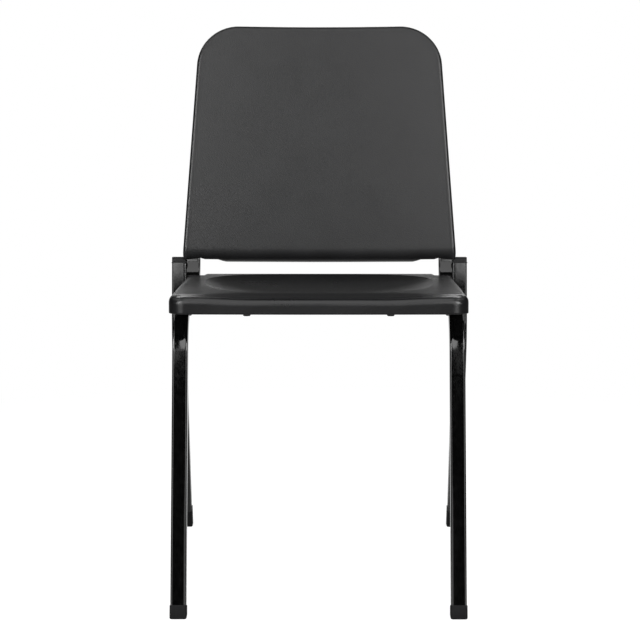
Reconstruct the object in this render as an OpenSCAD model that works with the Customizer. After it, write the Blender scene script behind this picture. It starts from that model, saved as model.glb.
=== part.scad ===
// Stacking choir chair: a square tube frame with a moulded seat pan and a double-walled back.
// Millimetres. The front faces -Y, +Z is up, and the origin is on the floor under the frame's middle.

/* [Frame] */
// Width over the outer faces of the rear legs
frame_w = 464; // [430:1:520]
// Outside width of the square tube
tube = 22.2; // [20:0.1:26]
// Wall of the square tube
tube_wall = 1.2; // [1:0.1:2]
// Outer corner radius of the square tube
tube_corner = 3; // [2:0.5:4]
// Backward rake of the front legs, in degrees from upright
front_rake = 15; // [10:0.5:18]
// Backward rake of the rear legs, in degrees from upright
rear_rake = 19.3; // [14:0.1:24]
// Height of the bend in the rear legs
rear_bend_h = 340; // [300:5:350]
// Centreline radius of the bend from front leg to seat rail
front_bend_r = 83; // [70:1:95]
// Centreline radius of the bend from seat rail to back upright
back_bend_r = 57; // [50:1:65]
// Centreline radius of the bend in the rear legs
leg_bend_r = 130; // [100:5:150]
// Seat rail length between the corners of its two bends
rail_l = 320; // [300:1:340]
// Length of the rear leg that stands above the seat rail
post_l = 37; // [35:1:43]
// Recline of the back, in degrees from upright
recline = 12; // [9:0.5:15]

/* [Seat] */
// Height of the seat's front edge
seat_h = 454.8; // [430:0.2:480]
// Distance of the seat's front edge behind the front feet
seat_setback = 50; // [40:1:60]
// Depth of the seat, front to rear
seat_depth = 402; // [395:1:410]
// Overhang of the seat's front corners past the rails' outer sides
seat_over_rail = 2.45; // [0:0.05:8]
// Gap between the seat's rear corners and the rear legs
seat_post_gap = 2.8; // [2:0.1:5]
// Fall of the seat to the rear, in degrees
seat_slope = 3.2; // [2:0.1:5]
// Wall of the seat
seat_wall = 3; // [2.5:0.1:4]
// Depth of the front lip
seat_lip = 27; // [22:1:32]
// Height of the seat's side edge above the rails
seat_edge = 10; // [9:0.5:12]
// Depth of the seat's bowl
bowl_d = 16; // [8:0.5:18]

/* [Back] */
// Height of the back shell along its recline
back_h = 373; // [340:1:400]
// Overhang of the back's sides past the uprights' outer sides
back_over_tube = 5.5; // [5:0.1:8]
// Inward lean of the back's sides and of the uprights, in degrees
side_lean = 4; // [3:0.1:4.5]
// Radius of the back's upper corners
back_corner_r = 67; // [50:1:75]
// Wall of the back shell and of its rear cover
back_wall = 2.5; // [2:0.1:3]
// Radius of the back's hollow across its width
back_curve_r = 1150; // [1100:10:1500]

/* [Feet] */
// Length of a front foot cap along its leg
front_cap_l = 17; // [15:0.5:24]
// Length of a rear foot cap along its leg
rear_cap_l = 33; // [24:0.5:38]
// Distance that the caps stand proud of the tube
cap_proud = 1; // [0.6:0.1:1.4]
// Floor thickness of a foot cap
cap_floor = 4; // [3:0.5:6]

/* [Hidden] */
$fn = 48;

// Colours
steel_black = "#141416";
plastic_black = "#3a3a3c";
cover_black = "#333335";
cap_black = "#26262a";
zinc = "#a9adb2";
rubber = "#1f1f20";

// Gap between pieces that touch without being fixed
touch_gap = 0.3;
// Overrun of a cut past the face that it opens
cut_over = 2;
// Clearance round a screw in its hole
hole_gap = 0.3;

// Facets of the swept tubes
corner_points = 4;
bend_steps = 11;
lean_steps = 3;

// Frame geometry in the side plane: [distance behind the front feet's front edge, height]
function side_dir(a) = [sin(a), cos(a)];
function side_normal(a) = [cos(a), -sin(a)];
half_tube = tube / 2;
rail_x = frame_w / 2 - 1.5 * tube;
post_x = frame_w / 2 - half_tube;
main_face = frame_w / 2 - tube;
rail_heading = 90 + seat_slope;
rail_under_seat = seat_edge + half_tube;
seat_front_w = 2 * (main_face + seat_over_rail);
seat_rear_w = 2 * (main_face - seat_post_gap);
back_bottom_w = 2 * (main_face + back_over_tube);
front_foot = [(half_tube + cap_proud) / cos(front_rake), 0];
rail_corner_h = (seat_h - rail_under_seat / cos(seat_slope)
                 - (front_foot[0] - seat_setback) * tan(seat_slope))
                / (1 + tan(front_rake) * tan(seat_slope));
front_corner = front_foot + rail_corner_h / cos(front_rake) * side_dir(front_rake);
back_corner = front_corner + rail_l * side_dir(rail_heading);
front_tangent = front_bend_r * tan((rail_heading - front_rake) / 2);
back_tangent = back_bend_r * tan((rail_heading - recline) / 2);
front_bend_in = front_corner - front_tangent * side_dir(front_rake);
back_bend_in = back_corner - back_tangent * side_dir(rail_heading);
upright_foot = back_corner + back_tangent * side_dir(recline);
leg_corner = back_corner - (back_corner[1] - rear_bend_h) / cos(recline) * side_dir(recline);
leg_tangent = leg_bend_r * tan((recline + rear_rake) / 2);
rear_foot = leg_corner + leg_corner[1] / cos(rear_rake) * [sin(rear_rake), -cos(rear_rake)];
rear_foot_back = rear_foot[0] + (half_tube + cap_proud) / cos(rear_rake);
// The origin lies half way between the front feet's front edge and the rear feet's rear edge
origin_setback = rear_foot_back / 2;

// Radius of the small bend that leans each upright in, and the upright's end below the back's top
lean_bend_r = 150;
upright_below_top = 66;

// Seat outline, in the seat's own plane: x across, y from the front edge, z square to the plane
seat_corner_r = 25;
seat_bow = 3;
edge_round = 11;
seat_in_d = 11.7;
notch_gap = 3;
notch_clear = 5.5;
notch_w = 2 * (main_face - tube - notch_gap);
notch_round = 3;
side_end_r = 6;
least_r = 0.5;
seat_rear_lip = 12;
skirt_step = 1;
under_edge_in = 2;
// Where the bends rise from the rail, and where the seat's sides stop short of the rear one
function seat_y(p) = (p[0] - seat_setback) * cos(seat_slope) - (p[1] - seat_h) * sin(seat_slope);
back_bend_y = seat_y(back_bend_in);
front_bend_y = seat_y(front_corner + front_tangent * side_dir(rail_heading));
back_bend_inside = back_bend_r - half_tube;
front_bend_outside = front_bend_r + half_tube;
notch_y = back_bend_y + sqrt(pow(back_bend_inside, 2) - pow(back_bend_inside - notch_clear, 2));

// Bowl of the seat: an oval that is squarer than an ellipse, wider towards the rear
bowl_front = 52;
bowl_rear = 12;
bowl_side = 42;
bowl_flare_share = 0.06;
bowl_power = 3;
bowl_wall_power = 3.5;
bowl_ring_shares = [0.2, 0.45, 0.65, 0.8, 0.9, 0.97, 1];
margin_shares = [0.5, 0.86, 1];
// Fall of the front edge to the groove behind its bead, and the groove's place
front_fall = 5;
groove_y = 17;
groove_d = 1.2;
groove_w = 7;
// The fall is full across the middle and fades to this share of itself towards the corners
corner_fall_share = 0.3;
fall_full_x = 90;
corner_fall_in = 22;

// Seat fixings: screws from below, through the rails and into bosses on the seat
boss_r = 5.5;
boss_bore_top = 2;
screw_r = 2.2;
screw_in = 6;
screw_head_r = 4.8;
screw_head_h = 3;
washer_r = 7;
washer_t = 1.2;
seat_screw_shares = [0.15, 0.84];
bumper_x = 103;
bumper_y = 62;
bumper_drop = 34.5;
bumper_r = 6;
bumper_h = 9;
bumper_post_r = 4;
bumper_post_in = 5;

// Cross tubes, and the welds round their ends
cross_r = 9.5;
cross_wall = 1.5;
front_cross_share = 0.73;
rear_cross_drop = 24;
weld_leg = 3.5;

// Beads of the weld between a post and its upright
bead_r = 4.6;
bead_end_r = 3.2;
bead_step = 3;
bead_count = 9;

// Plugs
plug_head = 10;
plug_proud = 0.5;
plug_in = 16;
plug_round = 2;
plug_fit = 0.1;

// Back shell, in the back's own plane: x across, y up the recline, z to the rear
back_edge_r = 7;
back_roll_h = 20;
back_roll_d = 14;
back_foot_corner = 6;
back_draft = 1.5;
back_face_shares = [0.15, 0.4, 0.62, 0.8, 0.92];
back_roll_shares = [0, 0.25, 0.5, 0.75, 1];
inside_edge_in = 0.4;
inside_edge_d = 4;
foot_points_shares = [0, 0.22, 0.44, 0.66, 0.7, 0.74, 0.78, 0.875, 0.895, 0.95];
tube_cut_in = 44.6;
tube_cut_fade = 18;
tube_cut_h = 13;
tube_cut_ramp = 5;
tube_cut_depth = 8;
rim_step = 0.5;
back_tube_clear = 0.56;
back_below_post = 3.6;

// Rear cover
cover_gap = 0.6;
cover_rest = 0.1;
cover_sunk = 0.4;
cover_bulge = 6;
cover_flat_in = 3.2;
cover_corner_r = 24;
cover_bottom = 6;
cover_round = 1.2;
cover_shares = [0.3, 0.6, 0.8, 0.92];

// Back fixings: screws from behind, through the cover and the uprights and into bosses on the shell
back_screw_r = 2.2;
back_screw_in = 2.2;
back_bore_end = 1.4;
back_screw_head_r = 4.6;
back_screw_head_h = 2.6;
back_washer_r = 6.5;
back_washer_t = 1;
back_boss_r = 6;
back_screw_up = 60;
back_screw_below_end = 23.5;

// Moves from the side plane's frame to the part's own frame
module from_feet() translate([0, -origin_setback, 0]) children();
module in_seat() from_feet() translate([0, seat_setback, seat_h]) rotate([-seat_slope, 0, 0]) children();
module in_back() from_feet() translate([0, back_origin[0], back_origin[1]]) rotate([90 - recline, 0, 0])
  mirror([0, 0, 1]) children();
module on_side(side) { if (side < 0) mirror([1, 0, 0]) children(); else children(); }

// A closed skin through rings of equal length, with a fan to a middle point at each end
function flat(lists) = [for (l = lists) each l];
function sum(v, i = 0) = i == len(v) - 1 ? v[i] : v[i] + sum(v, i + 1);
function reverse(v) = [for (i = [len(v) - 1:-1:0]) v[i]];
module skin(rings) {
  n = len(rings[0]);
  m = len(rings);
  sides = [for (j = [0:m - 2], i = [0:n - 1]) let (a = j * n + i, b = j * n + (i + 1) % n)
           each [[a, a + n, b], [b, a + n, b + n]]];
  first = [for (i = [0:n - 1]) [m * n, i, (i + 1) % n]];
  last = [for (i = [0:n - 1]) [m * n + 1, (m - 1) * n + (i + 1) % n, (m - 1) * n + i]];
  polyhedron(concat(flat(rings), [sum(rings[0]) / n, sum(rings[m - 1]) / n]), concat(sides, first, last));
}
// The same with the last ring joined back to the first, for a tube with a bore
module loop_skin(rings) {
  n = len(rings[0]);
  m = len(rings);
  polyhedron(flat(rings), [for (j = [0:m - 1], i = [0:n - 1])
    let (a = j * n + i, b = j * n + (i + 1) % n,
         c = ((j + 1) % m) * n + i, d = ((j + 1) % m) * n + (i + 1) % n)
    each [[a, c, b], [b, c, d]]]);
}

function arc(c, r, a0, a1, n) = [for (i = [0:n]) let (a = a0 + (a1 - a0) * i / n) c + r * [cos(a), sin(a)]];
function square_ring(size, r) = flat([for (k = [0:3])
  let (c = (size / 2 - r) * [k == 0 || k == 3 ? 1 : -1, k < 2 ? 1 : -1])
  arc(c, r, 90 * k, 90 * k + 90, corner_points - 1)]);

// A station of a tube's centreline: [place, across, up-face], the last two of unit length
function station(p, a) = [[0, p[0], p[1]], [1, 0, 0], [0, cos(a), -sin(a)]];
function bend_stations(p, a0, a1, r, n) = let (s = sign(a1 - a0), c = p + s * r * side_normal(a0))
  [for (i = [0:n]) let (a = a0 + (a1 - a0) * i / n) station(c - s * r * side_normal(a), a)];
function lean_stations(p, n) =
  let (t = [0, sin(recline), cos(recline)], up = [0, cos(recline), -sin(recline)])
  [for (i = [1:n]) let (a = side_lean * i / n)
    [[0, p[0], p[1]] + lean_bend_r * (sin(a) * t - (1 - cos(a)) * [1, 0, 0]),
     cos(a) * [1, 0, 0] + sin(a) * t, up]];
upright_stations = lean_stations(upright_foot, lean_steps);
lean_end = upright_stations[lean_steps - 1];
upright_dir = -sin(side_lean) * [1, 0, 0] + cos(side_lean) * [0, sin(recline), cos(recline)];
lean_end_l = ([lean_end[0][1], lean_end[0][2]] - back_corner) * side_dir(recline);
upright_left = (post_l + back_below_post + back_h - upright_below_top - lean_end_l) / cos(side_lean);
upright_top = [lean_end[0] + upright_left * upright_dir, lean_end[1], lean_end[2]];
// The back's plane is set out from the uprights: its hollow front clears their tops' inner edges
upright_end_in = rail_x + upright_top[0][0] - half_tube;
back_tube_gap = pow(upright_end_in, 2) / (2 * back_curve_r) - back_wall - back_tube_clear;
back_origin = back_corner + (post_l + back_below_post) * side_dir(recline)
              - (half_tube - back_tube_gap) * side_normal(recline);
cover_flat_x = upright_end_in - cover_flat_in;
tube_cut_x = main_face - tube - tube_cut_in;
main_stations = concat([station(front_foot, front_rake)],
  bend_stations(front_bend_in, front_rake, rail_heading, front_bend_r, bend_steps),
  bend_stations(back_bend_in, rail_heading, recline, back_bend_r, bend_steps),
  upright_stations, [upright_top]);
leg_bend_in = leg_corner - leg_tangent * side_dir(-rear_rake);
leg_stations = concat([station(rear_foot, -rear_rake)],
  bend_stations(leg_bend_in, -rear_rake, recline, leg_bend_r, bend_steps),
  [station(back_corner + post_l * side_dir(recline), recline)]);

function ring_at(s, ring) = [for (p = ring) s[0] + p[0] * s[1] + p[1] * s[2]];
// Slides a raked leg's end ring along the leg until each point lies at height h
function level_ring(ring, dir, h) = [for (p = ring) p + dir * (h - p[2]) / dir[2]];

function tube_rings(stations, foot_dir, ring) = [for (i = [0:len(stations) - 1])
  let (r = ring_at(stations[i], ring)) i == 0 ? level_ring(r, foot_dir, cap_floor) : r];
module swept_tube(stations, foot_dir)
  loop_skin(concat(reverse(tube_rings(stations, foot_dir, outer_ring)),
                   tube_rings(stations, foot_dir, inner_ring)));
outer_ring = square_ring(tube, tube_corner);
inner_ring = square_ring(tube - 2 * tube_wall, tube_corner - tube_wall);

module main_tube(side) color(steel_black) on_side(side) difference() {
  from_feet() translate([rail_x, 0, 0])
    swept_tube(main_stations, [0, sin(front_rake), cos(front_rake)]);
  in_seat() for (y = seat_screw_ys) translate([rail_x, y, -seat_edge - tube - cut_over])
    cylinder(r = screw_r + hole_gap, h = tube + 2 * cut_over);
  in_back() for (y = back_screw_ys) translate([upright_x(y), y, -back_tube_gap - cut_over])
    cylinder(r = back_screw_r + hole_gap, h = tube + 2 * cut_over);
}
module rear_leg(side) color(steel_black) on_side(side) from_feet() translate([post_x, 0, 0])
  swept_tube(leg_stations, [0, -sin(rear_rake), cos(rear_rake)]);

// Solid rounded square bar along z
module rounded_bar(size, r, l) linear_extrude(l) {
  square([size, size - 2 * r], center = true);
  square([size - 2 * r, size], center = true);
  for (sx = [-1, 1], sy = [-1, 1]) translate([sx, sy] * (size / 2 - r)) circle(r);
}

// A foot cap on a raked leg: a sleeve with a level floor
module foot_cap(x, foot, rake, l) color(cap_black) from_feet() {
  outer = tube + 2 * cap_proud;
  reach = outer * tan(abs(rake));
  difference() {
    translate([x, foot[0], 0]) rotate([-rake, 0, 0]) translate([0, 0, -reach])
      rounded_bar(outer, tube_corner + cap_proud, l + reach);
    translate([x - outer, foot[0] - 2 * outer, -4 * outer]) cube([2 * outer, 4 * outer, 4 * outer]);
    intersection() {
      translate([x, foot[0], 0]) rotate([-rake, 0, 0]) rounded_bar(tube, tube_corner, l + cut_over);
      translate([x - outer, foot[0] - 2 * outer, cap_floor]) cube([2 * outer, 4 * outer, 4 * outer]);
    }
  }
}

// Plug in the open top of a rear leg: its head is flush with the upright beside it
module post_plug(side) color(cap_black) on_side(side) from_feet()
  translate([post_x, back_corner[0] + post_l * sin(recline), back_corner[1] + post_l * cos(recline)])
  rotate([-recline, 0, 0]) {
    translate([0, 0, -plug_in])
      rounded_bar(tube - 2 * tube_wall - 2 * plug_fit, tube_corner - tube_wall, plug_in);
    translate([plug_proud, 0, 0]) hull() {
      rounded_bar(tube, tube_corner, plug_head - plug_round, $fn = 32);
      rounded_bar(tube - 2 * plug_round, tube_corner, plug_head, $fn = 32);
    }
  }
module upright_plug(side) color(cap_black) on_side(side) from_feet() translate([rail_x, 0, 0])
  translate(upright_top[0]) rotate([-recline, 0, 0]) rotate([0, -side_lean, 0]) {
    translate([0, 0, -plug_in])
      rounded_bar(tube - 2 * tube_wall - 2 * plug_fit, tube_corner - tube_wall, plug_in);
    rounded_bar(tube, tube_corner, plug_round);
  }

// Cross tubes, and the fillet welds round their ends
module cross_tube(at, half_l) color(steel_black) from_feet() translate([-half_l, at[0], at[1]])
  rotate([0, 90, 0]) difference() {
    cylinder(r = cross_r, h = 2 * half_l);
    translate([0, 0, -cut_over]) cylinder(r = cross_r - cross_wall, h = 2 * half_l + 2 * cut_over);
  }
front_cross_l = main_face - tube;
rear_cross_l = main_face;
front_cross_turn = front_rake + front_cross_share * (rail_heading - front_rake);
front_cross_at = front_bend_in + front_bend_r * (side_normal(front_rake) - side_normal(front_cross_turn));
rear_cross_at = back_corner - rear_cross_drop / cos(recline) * side_dir(recline);
module front_cross_tube() cross_tube(front_cross_at, front_cross_l);
module rear_cross_tube() cross_tube(rear_cross_at, rear_cross_l);
weld_share = 0.4;
module end_weld(at, x) translate([x, at[0], at[1]]) rotate([0, -90, 0]) rotate_extrude()
  polygon([[cross_r, 0], [cross_r + weld_leg, 0],
           [cross_r + weld_share * weld_leg, weld_share * weld_leg], [cross_r, weld_leg]]);
module cross_tube_welds() color(steel_black) from_feet() for (side = [-1, 1]) on_side(side) {
  end_weld(front_cross_at, front_cross_l);
  end_weld(rear_cross_at, rear_cross_l);
}

// Weld between a post and its upright: overlapping beads in the corner of the post's front face
// and the upright's outer face
module post_weld(side) color(steel_black) on_side(side) from_feet()
  translate([main_face, back_corner[0], back_corner[1]]) rotate([-recline, 0, 0])
  translate([0, -half_tube, post_l - bead_r]) difference() {
    for (i = [0:bead_count - 1]) let (share = i / (bead_count - 1))
      translate([0, 0, -i * bead_step]) sphere(r = bead_r + (bead_end_r - bead_r) * share);
    translate([-tube, -tube, -tube * 2]) cube([tube, tube * 2, tube * 3]);
    translate([-tube, 0, -tube * 2]) cube([tube * 2, tube, tube * 3]);
  }

// Seat outline with an even inset, from the front middle round the right side to the rear middle
function seat_half(d) = let (
    fw = seat_front_w / 2 - d, rw = seat_rear_w / 2 - d, nw = notch_w / 2 - d,
    fr = max(seat_corner_r - d, least_r), sr = max(side_end_r - d, least_r), nr = notch_round + d,
    fy = d + seat_bow + fr, ny = notch_y - d, ry = seat_depth - d)
  concat(
    [for (i = [0:8]) let (x = (fw - fr) * i / 9) [x, d + seat_bow * pow(x / (fw - fr), 2)]],
    arc([fw - fr, fy], fr, -90, 0, 6),
    [for (i = [1:8]) [fw + (rw - fw) * i / 9, fy + (ny - sr - fy) * i / 9]],
    arc([rw - sr, ny - sr], sr, 0, 90, 2),
    arc([nw + nr, ny + nr], nr, 270, 180, 2),
    arc([nw - sr, ry - sr], sr, 0, 90, 2),
    [for (i = [1:6]) [(nw - sr) * (1 - i / 7), ry]]);
function both_halves(half) = concat(half, [[0, half[len(half) - 1][1]]],
  [for (i = [len(half) - 1:-1:1]) [-half[i][0], half[i][1]]]);
function smooth(t) = let (c = min(max(t, 0), 1)) c * c * (3 - 2 * c);

// Height of the seat's top over its plane: the bowl, and the fall to the front edge
bowl_mid = (bowl_front + seat_depth - bowl_rear) / 2;
bowl_half_d = (seat_depth - bowl_rear - bowl_front) / 2;
function bowl_half_w(y) = seat_front_w / 2 - bowl_side + bowl_flare_share * (y - bowl_mid);
function bowl_place(p) = [p[0] / bowl_half_w(p[1]), (p[1] - bowl_mid) / bowl_half_d];
function bowl_rho(u) = pow(pow(abs(u[0]), bowl_power) + pow(abs(u[1]), bowl_power), 1 / bowl_power);
function bowl_point(p, s) =
  let (u = bowl_place(p), v = u * s / bowl_rho(u), y = bowl_mid + v[1] * bowl_half_d)
  [v[0] * bowl_half_w(y), y];
function bowl_at(p) = let (rho = bowl_rho(bowl_place(p)))
  rho < 1 ? bowl_d * (1 - pow(rho, bowl_wall_power)) : 0;
function fall_at(p) = let (
    side = 1 - smooth((abs(p[0]) - fall_full_x) / (seat_front_w / 2 - corner_fall_in - fall_full_x)),
    keep = corner_fall_share + (1 - corner_fall_share) * side,
    long = (bowl_front - groove_y) * keep)
  front_fall * keep * smooth((groove_y + long - p[1]) / long)
  + groove_d * (1 - smooth(abs(p[1] - groove_y) / groove_w));
function seat_top(p) = -bowl_at(p) - fall_at(p);

// Lowest height that the seat's side edge may reach over the bent main tube
function bend_drop(r, over) = r - sqrt(r * r - pow(min(max(over, 0), r), 2));
function tube_top(y) = -seat_edge + touch_gap + bend_drop(back_bend_inside, y - back_bend_y)
  - bend_drop(front_bend_outside, front_bend_y - y);
function seat_bottom(p) = p[1] > notch_y + least_r ? -seat_rear_lip : max(-seat_lip, tube_top(p[1]));

seat_rim = both_halves(seat_half(0));
seat_flat = both_halves(seat_half(edge_round));
seat_in = both_halves(seat_half(seat_in_d));
seat_bottoms = [for (p = seat_rim) seat_bottom(p)];
round_angles = [0, 35, 65, 90];
function raised(ring, drop) = [for (p = ring) [p[0], p[1], seat_top(p) - drop]];
function bowl_ring(s) = [for (p = seat_in) bowl_point(p, s)];
function margin_ring(s) = [for (p = seat_in) let (q = bowl_point(p, 1)) q + s * (p - q)];
function round_ring(a) = let (r = both_halves(seat_half(edge_round * (1 - sin(a)))))
  [for (i = [0:len(r) - 1])
    let (top = seat_top(seat_flat[i]), high = min(edge_round, top - seat_bottoms[i] - skirt_step))
    [r[i][0], r[i][1], top - high * (1 - cos(a))]];
function at_heights(ring, heights) = [for (i = [0:len(ring) - 1]) [ring[i][0], ring[i][1], heights[i]]];
module seat_skin() {
  top = concat([for (s = bowl_ring_shares) bowl_ring(s)], [for (s = margin_shares) margin_ring(s)]);
  wall_ring = both_halves(seat_half(seat_wall));
  under_ring = both_halves(seat_half(seat_wall + under_edge_in));
  under_heights = [for (i = [0:len(seat_rim) - 1])
    max(seat_top(under_ring[i]) - seat_wall - skirt_step, seat_bottoms[i] + skirt_step / 2)];
  skin(reverse(concat(
    [for (r = top) raised(r, 0)],
    [for (a = round_angles) round_ring(a)],
    [at_heights(seat_rim, seat_bottoms), at_heights(wall_ring, seat_bottoms),
     at_heights(under_ring, under_heights)],
    [for (r = reverse(top)) raised(r, seat_wall)])));
}
// The screws' shares are of the straight rail
seat_screw_ys = [for (share = seat_screw_shares) front_bend_y + share * (back_bend_y - front_bend_y)];
bumper_post_l = bumper_drop - bumper_h + bumper_post_in + seat_top([bumper_x, bumper_y]) - seat_wall / 2;
module seat_shell() color(plastic_black) in_seat() difference() {
  union() {
    seat_skin();
    for (sx = [-1, 1], y = seat_screw_ys) translate([sx * rail_x, y, -seat_edge])
      cylinder(r = boss_r, h = seat_edge - seat_wall / 2);
    for (sx = [-1, 1]) translate([sx * bumper_x, bumper_y, -bumper_drop + bumper_h - bumper_post_in])
      cylinder(r = bumper_post_r, h = bumper_post_l);
  }
  for (sx = [-1, 1], y = seat_screw_ys) translate([sx * rail_x, y, -seat_edge - cut_over])
    cylinder(r = screw_r, h = seat_edge - boss_bore_top + cut_over);
}

// Screws and washers that hold the seat, from below
rail_under = -seat_edge - tube;
module at_seat_screws() in_seat() for (sx = [-1, 1], y = seat_screw_ys)
  translate([sx * rail_x, y, rail_under]) children();
module seat_washers() color(zinc) at_seat_screws() translate([0, 0, -washer_t]) difference() {
  cylinder(r = washer_r, h = washer_t);
  translate([0, 0, -cut_over]) cylinder(r = screw_r + hole_gap, h = washer_t + 2 * cut_over);
}
module cross_recess(r, l) for (a = [0, 90]) rotate(a) translate([-r / 2, -r / 8, 0]) cube([r, r / 4, l]);
module seat_screws() color(zinc) at_seat_screws() translate([0, 0, -washer_t]) {
  cylinder(r = screw_r, h = washer_t + tube + screw_in);
  translate([0, 0, -screw_head_h]) difference() {
    cylinder(r1 = screw_head_r * 0.8, r2 = screw_head_r, h = screw_head_h);
    translate([0, 0, -screw_head_h / 2]) cross_recess(screw_head_r, screw_head_h);
  }
}

// Rubber bumper on each post under the seat's front
module stack_bumper(side) color(rubber) on_side(side) in_seat()
  translate([bumper_x, bumper_y, -bumper_drop]) difference() {
    union() {
      translate([0, 0, bumper_h / 4]) cylinder(r = bumper_r, h = bumper_h * 0.75);
      cylinder(r1 = bumper_r * 0.75, r2 = bumper_r, h = bumper_h / 4);
    }
    translate([0, 0, bumper_h - bumper_post_in]) cylinder(r = bumper_post_r, h = bumper_post_in + cut_over);
  }

// Back outline: an inset at the sides and top, a bottom inset of its own, and the corner radii
function back_half_w(y) = back_bottom_w / 2 - y * tan(side_lean);
function back_half(side_in, bottom_in, top_r, foot_r) = let (
    top = back_h - side_in,
    tx = back_half_w(top) - side_in,
    c = [tx - top_r * (1 - sin(side_lean)) / cos(side_lean), top - top_r],
    foot_x = back_half_w(bottom_in) - side_in - foot_r * (1 + sin(side_lean)) / cos(side_lean),
    b = [foot_x, bottom_in + foot_r],
    s0 = b + foot_r * [cos(side_lean), sin(side_lean)],
    s1 = c + top_r * [cos(side_lean), sin(side_lean)])
  concat(
    [for (s = foot_points_shares) [b[0] * s, bottom_in]],
    arc(b, foot_r, -90, side_lean, 4),
    [for (i = [1:11]) s0 + (s1 - s0) * pow(i / 12, 1.35)],
    arc(c, top_r, side_lean, 90, 8),
    [for (i = [1:5]) [c[0] * (1 - i / 6), top]]);

// Fore and aft places of the back's faces, and of the upright inside it
function back_front(x) = -x * x / (2 * back_curve_r);
lean_end_y = (([lean_end[0][1], lean_end[0][2]] - back_origin) * side_dir(recline));
function upright_x(y) = rail_x + lean_end[0][0] - (y - lean_end_y) * tan(side_lean);
function cover_in(x) =
  tube - back_tube_gap + cover_rest + cover_bulge * (1 - smooth(abs(x) / cover_flat_x));
function rim_z(x) = cover_in(x) + back_wall + cover_sunk;

back_rim = both_halves(back_half(0, 0, back_corner_r, back_foot_corner));
back_face = both_halves(
  back_half(back_edge_r, back_roll_h, back_corner_r - back_edge_r, back_foot_corner / 2));
back_wall_ring = both_halves(
  back_half(back_wall, back_wall, back_corner_r - back_wall, back_foot_corner - back_wall));
back_inside = let (in = back_wall + inside_edge_in)
  both_halves(back_half(in, in + back_foot_corner, back_corner_r - in, back_foot_corner - back_wall));
// One where the rim stops short for a tube, none elsewhere
function beside_tube(p) = (1 - smooth((p[1] - tube_cut_h) / tube_cut_ramp))
  * smooth((abs(p[0]) - tube_cut_x) / tube_cut_fade);
function cut_depth(x) = abs(x) < main_face - tube - notch_gap ? tube_cut_depth
  : min(tube_cut_depth, -back_tube_gap - touch_gap - back_front(x));
function round_depth(p) = back_edge_r + (back_roll_d - back_edge_r) * (1 - smooth(p[1] / back_roll_h));
function last_angle(p) = let (d = min((cut_depth(p[0]) - rim_step) / round_depth(p), 1))
  90 - beside_tube(p) * (90 - acos(1 - d));
function back_scaled(s, deep) = let (c = [0, back_h / 2])
  [for (p = back_face) let (q = c + s * (p - c)) [q[0], q[1], back_front(q[0]) + deep]];
function back_edge(i, share) = let (a = share * last_angle(back_rim[i]))
  back_face[i] + (back_rim[i] - back_face[i]) * sin(a);
function back_roll_ring(share) = [for (i = [0:len(back_rim) - 1])
  let (p = back_rim[i], q = back_edge(i, share))
  [q[0], q[1], back_front(q[0]) + round_depth(p) * (1 - cos(share * last_angle(p)))]];
function rim_ring(ring) = [for (i = [0:len(back_rim) - 1]) let (
    p = back_rim[i], cut = beside_tube(p), q = ring[i] + back_edge(i, 1) - p,
    out = back_draft * (1 - cut) * smooth(abs(q[0]) / back_corner_r) * sign(q[0]))
  [q[0] + out, q[1], (1 - cut) * rim_z(q[0]) + cut * (back_front(q[0]) + cut_depth(p[0]))]];
module back_skin() {
  inside_ring = [for (i = [0:len(back_rim) - 1]) let (q = back_inside[i], cut = beside_tube(back_rim[i]))
    [q[0], q[1], back_front(q[0]) + back_wall + (1 - cut / 2) * inside_edge_d]];
  skin(concat(
    [for (s = back_face_shares) back_scaled(s, 0)], [for (s = back_roll_shares) back_roll_ring(s)],
    [rim_ring(back_rim), rim_ring(back_wall_ring), inside_ring],
    [for (s = concat([1], reverse(back_face_shares))) back_scaled(s, back_wall)]));
}
back_screw_ys = [back_screw_up, back_h - upright_below_top - back_screw_below_end];
module at_back_screws(z) in_back() for (sx = [-1, 1], y = back_screw_ys)
  translate([sx * upright_x(y), y, z]) children();
module back_shell() color(plastic_black) difference() {
  union() {
    in_back() back_skin();
    in_back() for (sx = [-1, 1], y = back_screw_ys)
      let (x = upright_x(y), z = back_front(x) + back_wall / 2)
      translate([sx * x, y, z]) cylinder(r = back_boss_r, h = -back_tube_gap - z);
  }
  in_back() for (sx = [-1, 1], y = back_screw_ys) let (x = upright_x(y), z = back_front(x) + back_bore_end)
    translate([sx * x, y, z]) cylinder(r = back_screw_r, h = cut_over - back_tube_gap - z);
}

// Rear cover: a thin plate set inside the shell's rim and resting on the uprights
cover_rim = let (in = back_wall + cover_gap)
  both_halves(back_half(in, cover_bottom, back_corner_r - in, cover_corner_r));
function cover_ring(s, up) = let (c = [0, back_h / 2])
  [for (p = cover_rim) let (q = c + s * (p - c)) [q[0], q[1], cover_in(q[0]) + up]];
module cover_skin() {
  top_share = 1 - 2 * cover_round / back_bottom_w;
  skin(concat([for (s = cover_shares) cover_ring(s, 0)],
    [cover_ring(1, 0), cover_ring(1, back_wall - cover_round), cover_ring(top_share, back_wall)],
    [for (s = reverse(cover_shares)) cover_ring(s, back_wall)]));
}
cover_out = tube - back_tube_gap + cover_rest + back_wall;
module back_cover() color(cover_black) difference() {
  in_back() cover_skin();
  at_back_screws(0) cylinder(r = back_screw_r + hole_gap, h = cover_out + cut_over);
}
module back_washers() color(zinc) at_back_screws(cover_out) difference() {
  cylinder(r = back_washer_r, h = back_washer_t);
  translate([0, 0, -cut_over]) cylinder(r = back_screw_r + hole_gap, h = back_washer_t + 2 * cut_over);
}
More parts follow.
